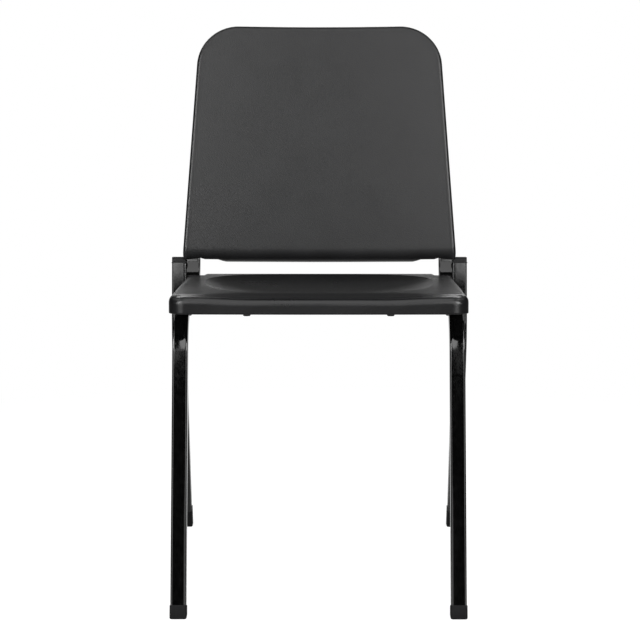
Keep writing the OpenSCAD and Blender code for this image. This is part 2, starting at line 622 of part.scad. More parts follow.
module back_screws() color(zinc) at_back_screws(-back_tube_gap - back_screw_in) {
  cylinder(r = back_screw_r, h = back_screw_in + back_tube_gap + cover_out + back_washer_t);
  translate([0, 0, back_screw_in + back_tube_gap + cover_out + back_washer_t]) difference() {
    cylinder(r1 = back_screw_head_r, r2 = back_screw_head_r * 0.8, h = back_screw_head_h);
    translate([0, 0, back_screw_head_h / 2]) cross_recess(back_screw_head_r, back_screw_head_h);
  }
}

seat_shell();
back_shell();
back_cover();
main_tube(-1);  // left_main_tube
main_tube(1);  // right_main_tube
rear_leg(-1);  // left_rear_leg
rear_leg(1);  // right_rear_leg
front_cross_tube();
rear_cross_tube();
cross_tube_welds();
post_weld(-1);  // left_post_weld
post_weld(1);  // right_post_weld
foot_cap(-rail_x, front_foot, front_rake, front_cap_l);  // front_left_foot_cap
foot_cap(rail_x, front_foot, front_rake, front_cap_l);  // front_right_foot_cap
foot_cap(-post_x, rear_foot, -rear_rake, rear_cap_l);  // rear_left_foot_cap
foot_cap(post_x, rear_foot, -rear_rake, rear_cap_l);  // rear_right_foot_cap
post_plug(-1);  // left_post_plug
post_plug(1);  // right_post_plug
upright_plug(-1);  // left_upright_plug
upright_plug(1);  // right_upright_plug
seat_screws();
seat_washers();
back_screws();
back_washers();
stack_bumper(-1);  // left_stack_bumper
stack_bumper(1);  // right_stack_bumper
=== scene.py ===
import math
import bmesh
import bpy
import numpy as np
from mathutils import Matrix, Vector


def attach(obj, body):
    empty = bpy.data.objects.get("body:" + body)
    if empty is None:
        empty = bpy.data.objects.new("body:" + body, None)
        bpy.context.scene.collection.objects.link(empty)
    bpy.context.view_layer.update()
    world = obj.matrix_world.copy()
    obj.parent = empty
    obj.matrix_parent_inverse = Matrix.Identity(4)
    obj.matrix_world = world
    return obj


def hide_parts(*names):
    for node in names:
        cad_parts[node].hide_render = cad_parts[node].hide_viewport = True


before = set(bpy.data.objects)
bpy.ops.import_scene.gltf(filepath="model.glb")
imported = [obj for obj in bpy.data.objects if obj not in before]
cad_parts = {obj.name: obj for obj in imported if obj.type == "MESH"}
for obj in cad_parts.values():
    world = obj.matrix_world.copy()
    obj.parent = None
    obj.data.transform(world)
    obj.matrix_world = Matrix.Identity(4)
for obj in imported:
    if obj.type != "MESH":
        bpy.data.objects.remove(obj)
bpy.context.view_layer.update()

# Sizes are in millimetres from here on; they become metres when a mesh is made.
chair = dict(frameWidth=464, tube=22.2, tubeCorner=3.0, tubeWall=1.2, frontRake=15.0, rearRake=19.3,
             rearBendHeight=340, frontBendRadius=83, backBendRadius=57, legBendRadius=130, leanBendRadius=150,
             railLength=320, postLength=37, recline=12.0, sideLean=4.0, capProud=1.0, capFloor=4.0,
             frontCapLength=17, rearCapLength=33, uprightBelowTop=66)
seat = dict(height=454.8, setback=50, depth=402, overRail=2.45, postGap=2.8, slope=3.2, wall=3.0, lip=27,
            edgeHeight=10, cornerRadius=25, bow=3.0, edgeRound=11.0, flatInset=11.7, sideEndRadius=6.0,
            notchRadius=3.0, notchGap=3.0, notchClear=5.5, rearLip=12.0, leastRadius=0.5, railGap=0.3,
            bowlDepth=16.0, bowlFront=52, bowlRear=12, bowlSide=42, bowlFlare=0.06, bowlPower=3.0,
            bowlWallPower=3.5, frontFall=5.0, grooveAt=17, grooveDepth=1.2, grooveWidth=7,
            cornerFallShare=0.3, fullFallTo=90, cornerFallIn=22, lipRound=1.2)
back = dict(height=373, overTube=5.5, cornerRadius=67, wall=2.5, curveRadius=1150, edgeRadius=7,
            rollHeight=20, rollDepth=14, footCorner=6, draft=1.5, tubeCutIn=44.6, tubeCutFade=18,
            tubeCutHeight=13, tubeCutRamp=5, tubeCutDepth=8, tubeClear=0.56, belowPost=3.6, touchGap=0.3,
            rimRound=0.8)
cover = dict(gap=0.6, rest=0.1, sunk=0.4, bulge=6.0, flatIn=3.2, cornerRadius=24, bottom=6.0, edgeRound=1.2)


def rad(angle):
    return math.radians(angle)


def along(angle):  # a heading in the side plane, as [back, up]
    return np.array([math.sin(rad(angle)), math.cos(rad(angle))])


def across(angle):  # square to it, towards the rear
    return np.array([math.cos(rad(angle)), -math.sin(rad(angle))])


# The frame's corners in the side plane: distance behind the front feet, height
halfTube = chair["tube"] / 2
railX = chair["frameWidth"] / 2 - 1.5 * chair["tube"]
postX = chair["frameWidth"] / 2 - halfTube
mainFace = chair["frameWidth"] / 2 - chair["tube"]
seatFrontWidth = 2 * (mainFace + seat["overRail"])
seatRearWidth = 2 * (mainFace - seat["postGap"])
backBottomWidth = 2 * (mainFace + back["overTube"])
railHeading = 90 + seat["slope"]
slopeTan = math.tan(rad(seat["slope"]))
frontFoot = np.array([(halfTube + chair["capProud"]) / math.cos(rad(chair["frontRake"])), 0.0])
railDrop = (seat["edgeHeight"] + halfTube) / math.cos(rad(seat["slope"]))
cornerHeight = ((seat["height"] - railDrop - (frontFoot[0] - seat["setback"]) * slopeTan)
                / (1 + math.tan(rad(chair["frontRake"])) * slopeTan))
frontCorner = frontFoot + cornerHeight / math.cos(rad(chair["frontRake"])) * along(chair["frontRake"])
backCorner = frontCorner + chair["railLength"] * along(railHeading)
frontTangent = chair["frontBendRadius"] * math.tan(rad(railHeading - chair["frontRake"]) / 2)
backTangent = chair["backBendRadius"] * math.tan(rad(railHeading - chair["recline"]) / 2)
legDrop = (backCorner[1] - chair["rearBendHeight"]) / math.cos(rad(chair["recline"]))
legCorner = backCorner - legDrop * along(chair["recline"])
legTangent = chair["legBendRadius"] * math.tan(rad(chair["recline"] + chair["rearRake"]) / 2)
legLength = legCorner[1] / math.cos(rad(chair["rearRake"]))
rearFoot = legCorner + legLength * along(180 - chair["rearRake"])
setback = (rearFoot[0] + (halfTube + chair["capProud"]) / math.cos(rad(chair["rearRake"]))) / 2
postTop = backCorner + chair["postLength"] * along(chair["recline"])


def fromSide(x, place):
    return np.array([x, place[0] - setback, place[1]])


# The upright: up from the rail's bend, then leaning in
acrossX = np.array([1.0, 0, 0])
upDirection = np.array([0, *along(chair["recline"])])
uprightFoot = backCorner + backTangent * along(chair["recline"])


def leanStation(angle):  # the place there and the direction out across the tube
    c, s = math.cos(rad(angle)), math.sin(rad(angle))
    place = fromSide(railX, uprightFoot) + chair["leanBendRadius"] * (s * upDirection - (1 - c) * acrossX)
    return place, c * acrossX + s * upDirection


leanEnd = leanStation(chair["sideLean"])[0]
uprightDirection = math.cos(rad(chair["sideLean"])) * upDirection - math.sin(rad(chair["sideLean"])) * acrossX
leanEndLength = np.dot(leanEnd - fromSide(railX, backCorner), upDirection)
uprightLeft = ((chair["postLength"] + back["belowPost"] + back["height"] - chair["uprightBelowTop"]
                - leanEndLength) / math.cos(rad(chair["sideLean"])))
uprightEnd = leanEnd + uprightLeft * uprightDirection
uprightEndIn = uprightEnd[0] - halfTube
tubeGap = uprightEndIn ** 2 / (2 * back["curveRadius"]) - back["wall"] - back["tubeClear"]
coverFlatX = uprightEndIn - cover["flatIn"]
tubeCutX = mainFace - chair["tube"] - back["tubeCutIn"]
backOrigin = (backCorner + (chair["postLength"] + back["belowPost"]) * along(chair["recline"])
              - (halfTube - tubeGap) * across(chair["recline"]))
leanEndY = np.dot([leanEnd[1] + setback - backOrigin[0], leanEnd[2] - backOrigin[1]], along(chair["recline"]))


def uprightX(y):
    return leanEnd[0] - (y - leanEndY) * math.tan(rad(chair["sideLean"]))


def fromSeat(points):  # seat plane to the chair: x across, y back, z square to the plane
    p = np.asarray(points, float)
    c, s = math.cos(rad(-seat["slope"])), math.sin(rad(-seat["slope"]))
    y, z = p[:, 1] * c - p[:, 2] * s, p[:, 1] * s + p[:, 2] * c
    return np.stack([p[:, 0], y + seat["setback"] - setback, z + seat["height"]], 1)


def fromBack(points):  # back plane to the chair: x across, y up the recline, z to the rear
    p = np.asarray(points, float)
    c, s = math.cos(rad(chair["recline"])), math.sin(rad(chair["recline"]))
    y = p[:, 1] * s + p[:, 2] * c + backOrigin[0] - setback
    z = p[:, 1] * c - p[:, 2] * s + backOrigin[1]
    return np.stack([p[:, 0], y, z], 1)


def smooth(t):  # an easy step from 0 to 1
    c = np.clip(t, 0, 1)
    return c * c * (3 - 2 * c)


def arc(centre, radius, start, end, steps):  # points on an arc, both ends included
    angles = [rad(start + (end - start) * i / steps) for i in range(steps + 1)]
    return [np.array(centre) + radius * np.array([math.cos(a), math.sin(a)]) for a in angles]


def bothHalves(half):  # closes the right half of an outline with its mirror image
    half = [np.array(p, float) for p in half]
    other = [np.array([-p[0], p[1]]) for p in half[:0:-1]]
    return np.array(half + [np.array([0.0, half[-1][1]])] + other)


def lift(ring, heights):  # gives the points of a flat ring their heights
    return np.concatenate([ring, np.asarray(heights)[:, None]], 1)


# Node trees. One function adds a node: its inputs are a list in the node's own order or a dictionary by name,
# and each is a value, a socket, a node, which stands for its first output, or a list of nodes to join.
mathNode, vectorNode, rangeNode, noiseNode = (
    "ShaderNodeMath", "ShaderNodeVectorMath", "ShaderNodeMapRange", "ShaderNodeTexNoise")
add, subtract, multiply, divide = ({"operation": name} for name in ("ADD", "SUBTRACT", "MULTIPLY", "DIVIDE"))
larger, smaller = {"operation": "MAXIMUM"}, {"operation": "MINIMUM"}
scaleBy, unit = {"operation": "SCALE"}, {"operation": "NORMALIZE"}


def addNode(tree, kind, settings=None, inputs=()):
    node = tree.nodes.new(kind)
    for key, value in (settings or {}).items():
        setattr(node, key, value)
    for key, value in (inputs.items() if isinstance(inputs, dict) else enumerate(inputs)):
        for source in (value if isinstance(value, list) else [value]):
            if isinstance(source, bpy.types.Node):
                source = source.outputs[0]
            if isinstance(source, bpy.types.NodeSocket):
                tree.links.new(source, node.inputs[key])
            else:
                node.inputs[key].default_value = source
    return node


def linear(hexColour):  # sRGB to linear light
    values = [int(hexColour[i:i + 2], 16) / 255 for i in (1, 3, 5)]
    return (*[v / 12.92 if v <= 0.04045 else ((v + 0.055) / 1.055) ** 2.4 for v in values], 1.0)


def newMaterial(name):
    material = bpy.data.materials.new(name)
    material.use_nodes = True
    tree = material.node_tree
    tree.nodes.clear()
    return material, tree, addNode(tree, "ShaderNodeTexCoord").outputs["Object"]


def pattern(coords, size, detail):  # a noise whose features are this many millimetres across
    return {"Vector": coords, "Scale": 1000 / size, "Detail": detail}


def shade(tree, tone, settings, inputs):  # a tone from 0 to 1 runs from the dark colour to the light one
    tones = {"Factor": tone, 6: linear(settings["dark"]), 7: linear(settings["light"])}
    colour = addNode(tree, "ShaderNodeMix", {"data_type": "RGBA"}, tones).outputs[2]
    shader = addNode(tree, "ShaderNodeBsdfPrincipled", {}, {"Base Color": colour, **inputs})
    addNode(tree, "ShaderNodeOutputMaterial", {}, {"Surface": shader})


# Materials. A noise keeps mostly between low and high, which are stretched to the ends of a tone or a
# roughness.
moulding = dict(low=0.3, high=0.7, softness=0.6, speckDetail=3.0, cloudDetail=4.0, depth=0.0003, spread=0.03)
coating = dict(low=0.35, high=0.7, roughLow=0.3, roughHigh=0.75, peelDetail=1.5, dustDetail=5.0, depth=0.0004,
               smoother=0.02, rougher=0.03, ior=1.5)
plating = dict(low=0.3, high=0.7, cloudDetail=4.0, rougher=0.12)


def mouldedPlastic(name, settings):
    # A plastic or rubber moulded in a steel tool: a fine pebbled grain from the tool, a satin sheen, and flow
    # marks in faint clouds. The real grain is about 0.5 mm; it is drawn coarser so that it shows.
    material, tree, coords = newMaterial(name)
    m = moulding
    cells = {"Vector": coords, "Scale": 1000 / settings["pebble"], "Smoothness": m["softness"]}
    pebble = addNode(tree, "ShaderNodeTexVoronoi", {"feature": "SMOOTH_F1"}, cells)
    speck = addNode(tree, noiseNode, {}, pattern(coords, settings["speck"], m["speckDetail"]))
    cloud = addNode(tree, noiseNode, {}, pattern(coords, settings["cloud"], m["cloudDetail"]))
    grain = addNode(tree, mathNode, add, [pebble, speck])
    bump = {"Height": grain, "Strength": settings["bump"], "Distance": m["depth"]}
    speckTone = addNode(tree, rangeNode, {}, [speck, m["low"], m["high"], 0.0, 0.5])
    cloudTone = addNode(tree, rangeNode, {}, [cloud, m["low"], m["high"], 0.0, 0.5])
    rough = [cloud, m["low"], m["high"], settings["rough"] - m["spread"], settings["rough"] + m["spread"]]
    shade(tree, addNode(tree, mathNode, add, [speckTone, cloudTone]), settings, {
        "Roughness": addNode(tree, rangeNode, {}, rough), "Normal": addNode(tree, "ShaderNodeBump", {}, bump),
        "IOR": settings["ior"], "Specular IOR Level": settings["specular"]})
    return material


def powderCoat(name, settings):
    # Gloss black powder coat baked on steel: deep colour, sharp reflections and a faint orange peel.
    material, tree, coords = newMaterial(name)
    c = coating
    peel = addNode(tree, noiseNode, {}, pattern(coords, settings["peel"], c["peelDetail"]))
    dust = addNode(tree, noiseNode, {}, pattern(coords, settings["dust"], c["dustDetail"]))
    bump = {"Height": peel, "Strength": settings["bump"], "Distance": c["depth"]}
    rough = [dust, c["roughLow"], c["roughHigh"], settings["rough"] - c["smoother"],
             settings["rough"] + c["rougher"]]
    shade(tree, addNode(tree, rangeNode, {}, [dust, c["low"], c["high"], 0.0, 1.0]), settings, {
        "Roughness": addNode(tree, rangeNode, {}, rough), "Normal": addNode(tree, "ShaderNodeBump", {}, bump),
        "IOR": c["ior"], "Specular IOR Level": settings["specular"]})
    return material


def zincPlate(name, settings):
    # Bright zinc plate with a clear chromate: pale grey metal, slightly cloudy.
    material, tree, coords = newMaterial(name)
    p = plating
    cloud = addNode(tree, noiseNode, {}, pattern(coords, settings["cloud"], p["cloudDetail"]))
    rough = [cloud, p["low"], p["high"], settings["rough"], settings["rough"] + p["rougher"]]
    shade(tree, addNode(tree, rangeNode, {}, [cloud, p["low"], p["high"], 0.0, 1.0]), settings, {
        "Metallic": 1.0, "Roughness": addNode(tree, rangeNode, {}, rough)})
    return material


# Seat, back and cover are moulded polypropylene. The seat is a little smoother than the back, and the cover
# a little greyer.
shellGrain = dict(dark="#0f0f10", light="#161617", pebble=1.5, speck=1.0, cloud=60, bump=0.3, rough=0.37,
                  ior=1.49, specular=0.5)
seatPlastic = mouldedPlastic("seatPolypropylene", dict(shellGrain, rough=0.3))
backPlastic = mouldedPlastic("backPolypropylene", shellGrain)
coverPlastic = mouldedPlastic("coverPolypropylene", dict(shellGrain, dark="#111112", light="#171718"))
# Moulded nylon with a coarser, duller grain; the plugs shine a little more than the caps.
nylonGrain = dict(dark="#101011", light="#171718", pebble=2.2, speck=1.3, cloud=25, bump=0.15, rough=0.55,
                  ior=1.53, specular=0.15)
capNylon = mouldedPlastic("capNylon", nylonGrain)
# The plugs' colour is a shade darker than the caps': painted shade for the shadow that falls on their tops.
plugNylonPaintedShade = mouldedPlastic("plugNylonPaintedShade", dict(nylonGrain, dark="#0c0c0d", light="#131314", rough=0.45,
                                             specular=0.2))
# Moulded rubber: dull, and a little greyer than the plastics.
bumperRubber = mouldedPlastic("bumperRubber", dict(dark="#121212", light="#1a1a1a", pebble=2.4, speck=1.2,
                                                   cloud=15, bump=0.2, rough=0.68, ior=1.52, specular=0.4))
# The welds are coated with the frame, but the coat is rougher over their ripples. Their colour is a little
# lighter than the frame's: a painted highlight for the glints on the bead.
frameCoat = powderCoat("powderCoatedSteel", dict(dark="#040404", light="#070707", peel=3.5, dust=8, bump=0.02,
                                                 rough=0.08, specular=0.65))
weldCoatPaintedHighlight = powderCoat("powderCoatedWeld", dict(dark="#080809", light="#101011", peel=2.0, dust=4, bump=0.2,
                                               rough=0.32, specular=1.0))
screwZinc = zincPlate("zincPlatedSteel", dict(dark="#8f9296", light="#b4b7bb", cloud=6, rough=0.22))
print("materials made")


# Mesh helpers
def newObject(name, data):
    piece = bpy.data.objects.new(name, data)
    bpy.context.scene.collection.objects.link(piece)
    return piece


def keepPiece(piece, nodes):  # nothing on the chair moves, so all ride one body
    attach(piece, "root")
    if nodes:
        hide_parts(*nodes)
    return piece


def fanSkin(rings):  # a closed skin over the rings, with a fan to a middle point at each end
    n, m = len(rings[0]), len(rings)
    points = np.concatenate([*rings, rings[0].mean(0)[None], rings[-1].mean(0)[None]])
    faces = []
    for a in range(0, (m - 1) * n, n):
        faces += [(a + i, a + (i + 1) % n, a + n + (i + 1) % n, a + n + i) for i in range(n)]
    faces += [(m * n, (i + 1) % n, i) for i in range(n)]
    faces += [(m * n + 1, (m - 1) * n + i, (m - 1) * n + (i + 1) % n) for i in range(n)]
    return points, faces


def outward(points, faces):  # turns every face over where the skin is inside out
    total = 0.0
    for f in faces:
        for i in range(1, len(f) - 1):
            total += np.dot(points[f[0]], np.cross(points[f[i]], points[f[i + 1]]))
    return faces if total > 0 else [tuple(reversed(f)) for f in faces]


def makePiece(name, rings, material, nodes, crease=40):
    points, faces = fanSkin(rings)
    mesh = bpy.data.meshes.new(name)
    mesh.from_pydata([tuple(p) for p in points * 0.001], [], outward(points, faces))
    mesh.validate()
    mesh.shade_smooth()
    mesh.set_sharp_from_angle(angle=rad(crease))
    mesh.materials.append(material)
    return keepPiece(newObject(name, mesh), nodes)


# Geometry Nodes: the tubes, welds, screws, washers and bosses
def newTree(name, sizes, others=()):  # sizes are inputs in metres; returns the tree and what it is given
    tree = bpy.data.node_groups.new(name, "GeometryNodeTree")
    sizes = [(size, "Float") for size in sizes]
    for label, kind in [("Geometry", "Geometry"), *sizes, *others, ("Material", "Material")]:
        tree.interface.new_socket(name=label, in_out="INPUT", socket_type="NodeSocket" + kind)
    tree.interface.new_socket(name="Geometry", in_out="OUTPUT", socket_type="NodeSocketGeometry")
    return tree, addNode(tree, "NodeGroupInput").outputs


def endTree(tree, given, geometry):
    whole = addNode(tree, "GeometryNodeRealizeInstances", {}, [geometry])
    painted = {"Geometry": whole, "Material": given["Material"]}
    addNode(tree, "NodeGroupOutput", {}, [addNode(tree, "GeometryNodeSetMaterial", {}, painted)])
    return tree


def pathMesh(name, points, edges, vectors=None):  # points in millimetres, with named vectors on them
    mesh = bpy.data.meshes.new(name)
    mesh.from_pydata([tuple(p) for p in np.asarray(points, float) * 0.001], edges, [])
    for label, values in (vectors or {}).items():
        attribute = mesh.attributes.new(label, "FLOAT_VECTOR", "POINT")
        attribute.data.foreach_set("vector", (np.asarray(values, float) * 0.001).ravel())
    return mesh


def chain(count, closed=False):  # the edges that link points in a row
    return [(i, i + 1) for i in range(count - 1)] + ([(count - 1, 0)] if closed else [])


def grown(name, base, tree, values, crease=35):  # runs a tree on a base mesh and returns a plain, closed mesh
    holder = newObject(name + "Base", base)
    modifier = holder.modifiers.new("grow", "NODES")
    modifier.node_group = tree
    for item in tree.interface.items_tree:
        if item.in_out == "INPUT" and item.name in values:
            modifier[item.identifier] = values[item.name]
    bpy.context.view_layer.update()
    depsgraph = bpy.context.evaluated_depsgraph_get()
    mesh = bpy.data.meshes.new_from_object(holder.evaluated_get(depsgraph))
    holder.modifiers.clear()
    bpy.data.objects.remove(holder)
    mesh.name = name
    work = bmesh.new()
    work.from_mesh(mesh)
    bmesh.ops.remove_doubles(work, verts=work.verts, dist=0.000002)
    bmesh.ops.recalc_face_normals(work, faces=work.faces)
    work.to_mesh(mesh)
    work.free()
    for label in ("centre", "hollow"):
        if label in mesh.attributes:
            mesh.attributes.remove(mesh.attributes[label])
    mesh.shade_smooth()
    mesh.set_sharp_from_angle(angle=rad(crease))
    return mesh


def mirrored(mesh, name):
    other = mesh.copy()
    other.name = name
    other.transform(Matrix.Diagonal((-1, 1, 1, 1)))
    other.flip_normals()
    return other


def together(name, meshes):  # several meshes as one
    work = bmesh.new()
    for mesh in meshes:
        work.from_mesh(mesh)
    whole = meshes[0].copy()
    whole.name = name
    work.to_mesh(whole)
    work.free()
    return whole


# Tube along a path: a circle of points is pressed into a rounded square, or stays round where the
# corner is half the size. Where the path carries a hollow, the outer wall of the bend sinks in. The circle
# reaches to the square's corners, and the outer wall is what lies beyond its share of half the size.
bend = dict(diagonal=1.4142, outerShare=0.85)


def tubeTree():
    tree, given = newTree("bentTube", ["Size", "Corner", "Wall"], [("Points", "Int")])
    half = addNode(tree, mathNode, multiply, [given["Size"], 0.5])

    def outline(halfSize, corner):
        reach = addNode(tree, mathNode, multiply, [halfSize, bend["diagonal"]])
        circle = {"Resolution": given["Points"], "Radius": reach}
        circle = addNode(tree, "GeometryNodeCurvePrimitiveCircle", {}, circle)
        place = addNode(tree, "GeometryNodeInputPosition")
        flat = addNode(tree, mathNode, subtract, [halfSize, corner])
        high = addNode(tree, "ShaderNodeCombineXYZ", {}, [flat, flat])
        low = addNode(tree, vectorNode, scaleBy, {0: high, "Scale": -1.0})
        inner = addNode(tree, vectorNode, smaller, [place, high])
        inner = addNode(tree, vectorNode, larger, [inner, low])
        out = addNode(tree, vectorNode, subtract, [place, inner])
        out = addNode(tree, vectorNode, unit, [out])
        out = addNode(tree, vectorNode, scaleBy, {0: out, "Scale": corner})
        moved = addNode(tree, vectorNode, add, [inner, out])
        return addNode(tree, "GeometryNodeSetPosition", {}, {"Geometry": circle, "Position": moved})

    innerHalf = addNode(tree, mathNode, subtract, [half, given["Wall"]])
    innerCorner = addNode(tree, mathNode, subtract, [given["Corner"], given["Wall"]])
    profiles = [outline(half, given["Corner"]), outline(innerHalf, innerCorner)]
    path = addNode(tree, "GeometryNodeMeshToCurve", {}, [given["Geometry"]])
    swept = [{"Curve": path, "Profile Curve": profile, "Fill Caps": False} for profile in profiles]
    skins = [addNode(tree, "GeometryNodeCurveToMesh", {}, inputs) for inputs in swept]
    skins = addNode(tree, "GeometryNodeJoinGeometry", {}, [skins])
    # The tube is open, so each end gets a rim between the two outlines.
    rim = addNode(tree, "GeometryNodeJoinGeometry", {}, [profiles])
    rim = addNode(tree, "GeometryNodeFillCurve", {}, [rim])
    ends = addNode(tree, "GeometryNodeCurveToPoints", {"mode": "COUNT"}, {"Curve": path, "Count": 2}).outputs
    rims = {"Points": ends["Points"], "Instance": rim, "Rotation": ends["Rotation"]}
    rims = addNode(tree, "GeometryNodeInstanceOnPoints", {}, rims)
    # The hollow: deepest in the middle of the outer wall, none at its rounded corners
    read = {"data_type": "FLOAT_VECTOR"}
    centre = addNode(tree, "GeometryNodeInputNamedAttribute", read, {"Name": "centre"})
    hollow = addNode(tree, "GeometryNodeInputNamedAttribute", read, {"Name": "hollow"})
    reach = addNode(tree, vectorNode, subtract, [addNode(tree, "GeometryNodeInputPosition"), centre])
    inward = addNode(tree, vectorNode, unit, [hollow])
    depth = addNode(tree, vectorNode, {"operation": "DOT_PRODUCT"}, [reach, inward]).outputs["Value"]
    outerWall = addNode(tree, mathNode, multiply, [half, -bend["outerShare"]])
    onWall = addNode(tree, mathNode, {"operation": "LESS_THAN"}, [depth, outerWall])
    flat = addNode(tree, mathNode, subtract, [half, given["Corner"]])
    share = addNode(tree, mathNode, divide, [addNode(tree, "ShaderNodeSeparateXYZ", {}, [reach]), flat])
    dish = addNode(tree, mathNode, subtract, [1.0, addNode(tree, mathNode, multiply, [share, share])])
    dish = addNode(tree, mathNode, larger, [dish, 0.0])
    dish = addNode(tree, mathNode, multiply, [onWall, dish])
    sink = addNode(tree, vectorNode, scaleBy, {0: hollow, "Scale": dish})
    sunk = addNode(tree, "GeometryNodeSetPosition", {}, {"Geometry": skins, "Offset": sink})
    return endTree(tree, given, addNode(tree, "GeometryNodeJoinGeometry", {}, [[sunk, rims]]))


# Weld bead along a path: a quarter round that sits in the corner, with the ripples of its pools
bead = dict(step=0.14, grain=180.0, blunt=0.05, taperPower=0.5, sides=12)


def weldTree():
    sizes = ["Leg", "End Share", "Pitch", "Ripple", "Taper", "Tilt", "Wander", "Seed"]
    tree, given = newTree("weldBead", sizes)
    step = addNode(tree, mathNode, multiply, [given["Pitch"], bead["step"]])
    path = addNode(tree, "GeometryNodeMeshToCurve", {}, [given["Geometry"]])
    path = addNode(tree, "GeometryNodeResampleCurve", {"mode": "LENGTH"}, {"Curve": path, "Length": step})
    path = addNode(tree, "GeometryNodeSetCurveTilt", {}, {"Curve": path, "Tilt": given["Tilt"]})
    spline = addNode(tree, "GeometryNodeSplineParameter").outputs
    # The size dips by the ripple where two pools meet.
    turn = addNode(tree, mathNode, divide, [spline["Length"], given["Pitch"]])
    turn = addNode(tree, mathNode, multiply, [turn, math.pi])
    pool = addNode(tree, mathNode, {"operation": "SINE"}, [turn])
    pool = addNode(tree, mathNode, {"operation": "ABSOLUTE"}, [pool])
    pool = addNode(tree, mathNode, subtract, [pool, 1.0])
    pool = addNode(tree, mathNode, multiply, [pool, given["Ripple"]])
    # It wanders with a noise, because the bead was laid by hand.
    place = addNode(tree, "GeometryNodeInputPosition")
    wander = {"Vector": place, "W": given["Seed"], "Scale": bead["grain"]}
    wander = addNode(tree, noiseNode, {"noise_dimensions": "4D"}, wander)
    wander = addNode(tree, mathNode, subtract, [wander, 0.5])
    wander = addNode(tree, mathNode, multiply, [wander, given["Wander"]])
    # Both ends are rounded off over the taper's length.
    left = addNode(tree, mathNode, subtract, [addNode(tree, "GeometryNodeSplineLength"), spline["Length"]])
    nearEnd = addNode(tree, mathNode, smaller, [spline["Length"], left])
    nearEnd = addNode(tree, mathNode, divide, [nearEnd, given["Taper"]])
    taper = addNode(tree, mathNode, add, [nearEnd, bead["blunt"]])
    taper = addNode(tree, mathNode, {"operation": "POWER"}, [taper, bead["taperPower"]])
    taper = addNode(tree, mathNode, smaller, [taper, 1.0])
    size = addNode(tree, rangeNode, {}, [spline["Factor"], 0.0, 1.0, 1.0, given["End Share"]])
    for change in (pool, wander):
        size = addNode(tree, mathNode, add, [size, change])
    size = addNode(tree, mathNode, multiply, [size, taper])
    pie = {"Resolution": bead["sides"], "Radius": given["Leg"], "Sweep Angle": math.pi / 2,
           "Connect Center": True}
    pie = addNode(tree, "GeometryNodeCurveArc", {"mode": "RADIUS"}, pie)
    swept = {"Curve": path, "Profile Curve": pie, "Scale": size, "Fill Caps": True}
    return endTree(tree, given, addNode(tree, "GeometryNodeCurveToMesh", {}, swept))


def cylinder(tree, radius, depth, middle, sides):  # an upright cylinder with its middle at this height
    body = {"Vertices": sides, "Radius": radius, "Depth": depth}
    body = addNode(tree, "GeometryNodeMeshCylinder", {}, body)
    return raised(tree, body, middle)


def raised(tree, body, height):
    move = addNode(tree, "ShaderNodeCombineXYZ", {}, {"Z": height})
    return addNode(tree, "GeometryNodeTransform", {}, {"Geometry": body, "Translation": move})


def placed(tree, given, body):  # the shape on each point, its top turned to Direction, with a random spin
    aim = {"Vector": given["Direction"]}
    aim = addNode(tree, "FunctionNodeAlignRotationToVector", {"axis": "Z"}, aim)
    spin = {2: 0.0, 3: 2 * math.pi, "Seed": given["Seed"]}
    spin = addNode(tree, "FunctionNodeRandomValue", {"data_type": "FLOAT"}, spin).outputs[1]
    spin = addNode(tree, "FunctionNodeAxisAngleToRotation", {}, {"Axis": (0, 0, 1), "Angle": spin})
    turned = {"Rotation": aim, "Rotate By": spin}
    turned = addNode(tree, "FunctionNodeRotateRotation", {"rotation_space": "LOCAL"}, turned)
    instances = {"Points": given["Geometry"], "Instance": body, "Rotation": turned}
    return addNode(tree, "GeometryNodeInstanceOnPoints", {}, instances)


# Pan head screw with a cross recess; the point is where its head bears
panHead = dict(domeShare=1.04, blockShare=1.2, recessLength=1.1, recessWidth=0.26, segments=64, rings=48,
               shankSides=32)


def screwTree():
    tree, given = newTree("panHeadScrew", ["Head Radius", "Head Height", "Shank Radius", "Length"],
                          [("Direction", "Vector"), ("Seed", "Int")])
    radius, height = given["Head Radius"], given["Head Height"]
    dome = {"Segments": panHead["segments"], "Rings": panHead["rings"], "Radius": 1.0}
    dome = addNode(tree, "GeometryNodeMeshUVSphere", {}, dome)
    wide = addNode(tree, mathNode, multiply, [radius, panHead["domeShare"]])
    spread = addNode(tree, "ShaderNodeCombineXYZ", {}, [wide, wide, height])
    dome = addNode(tree, "GeometryNodeTransform", {}, {"Geometry": dome, "Scale": spread})
    tall = addNode(tree, mathNode, multiply, [height, panHead["blockShare"]])
    middle = addNode(tree, mathNode, multiply, [height, panHead["blockShare"] / 2])
    block = cylinder(tree, radius, tall, middle, panHead["segments"])
    both = addNode(tree, "GeometryNodeJoinGeometry", {}, [[dome, block]])
    keep = {"operation": "INTERSECT", "solver": "EXACT"}
    head = addNode(tree, "GeometryNodeMeshBoolean", keep, {"Mesh 2": both})
    long = addNode(tree, mathNode, multiply, [radius, panHead["recessLength"]])
    slim = addNode(tree, mathNode, multiply, [radius, panHead["recessWidth"]])
    for x, y in ((long, slim), (slim, long)):
        slot = addNode(tree, "ShaderNodeCombineXYZ", {}, [x, y, height])
        slot = addNode(tree, "GeometryNodeMeshCube", {}, [slot])
        pair = {"Mesh 1": head, "Mesh 2": raised(tree, slot, height)}
        head = addNode(tree, "GeometryNodeMeshBoolean", {"operation": "DIFFERENCE", "solver": "EXACT"}, pair)
    length = given["Length"]
    halfDown = addNode(tree, mathNode, multiply, [length, -0.5])
    shank = cylinder(tree, given["Shank Radius"], length, halfDown, panHead["shankSides"])
    screw = addNode(tree, "GeometryNodeJoinGeometry", {}, [[head, shank]])
    return endTree(tree, given, placed(tree, given, screw))


# Flat washer with rounded edges, or a boss: a ring swept round a circle; the point is its outer face
ringSteps = dict(around=64, edge=3)


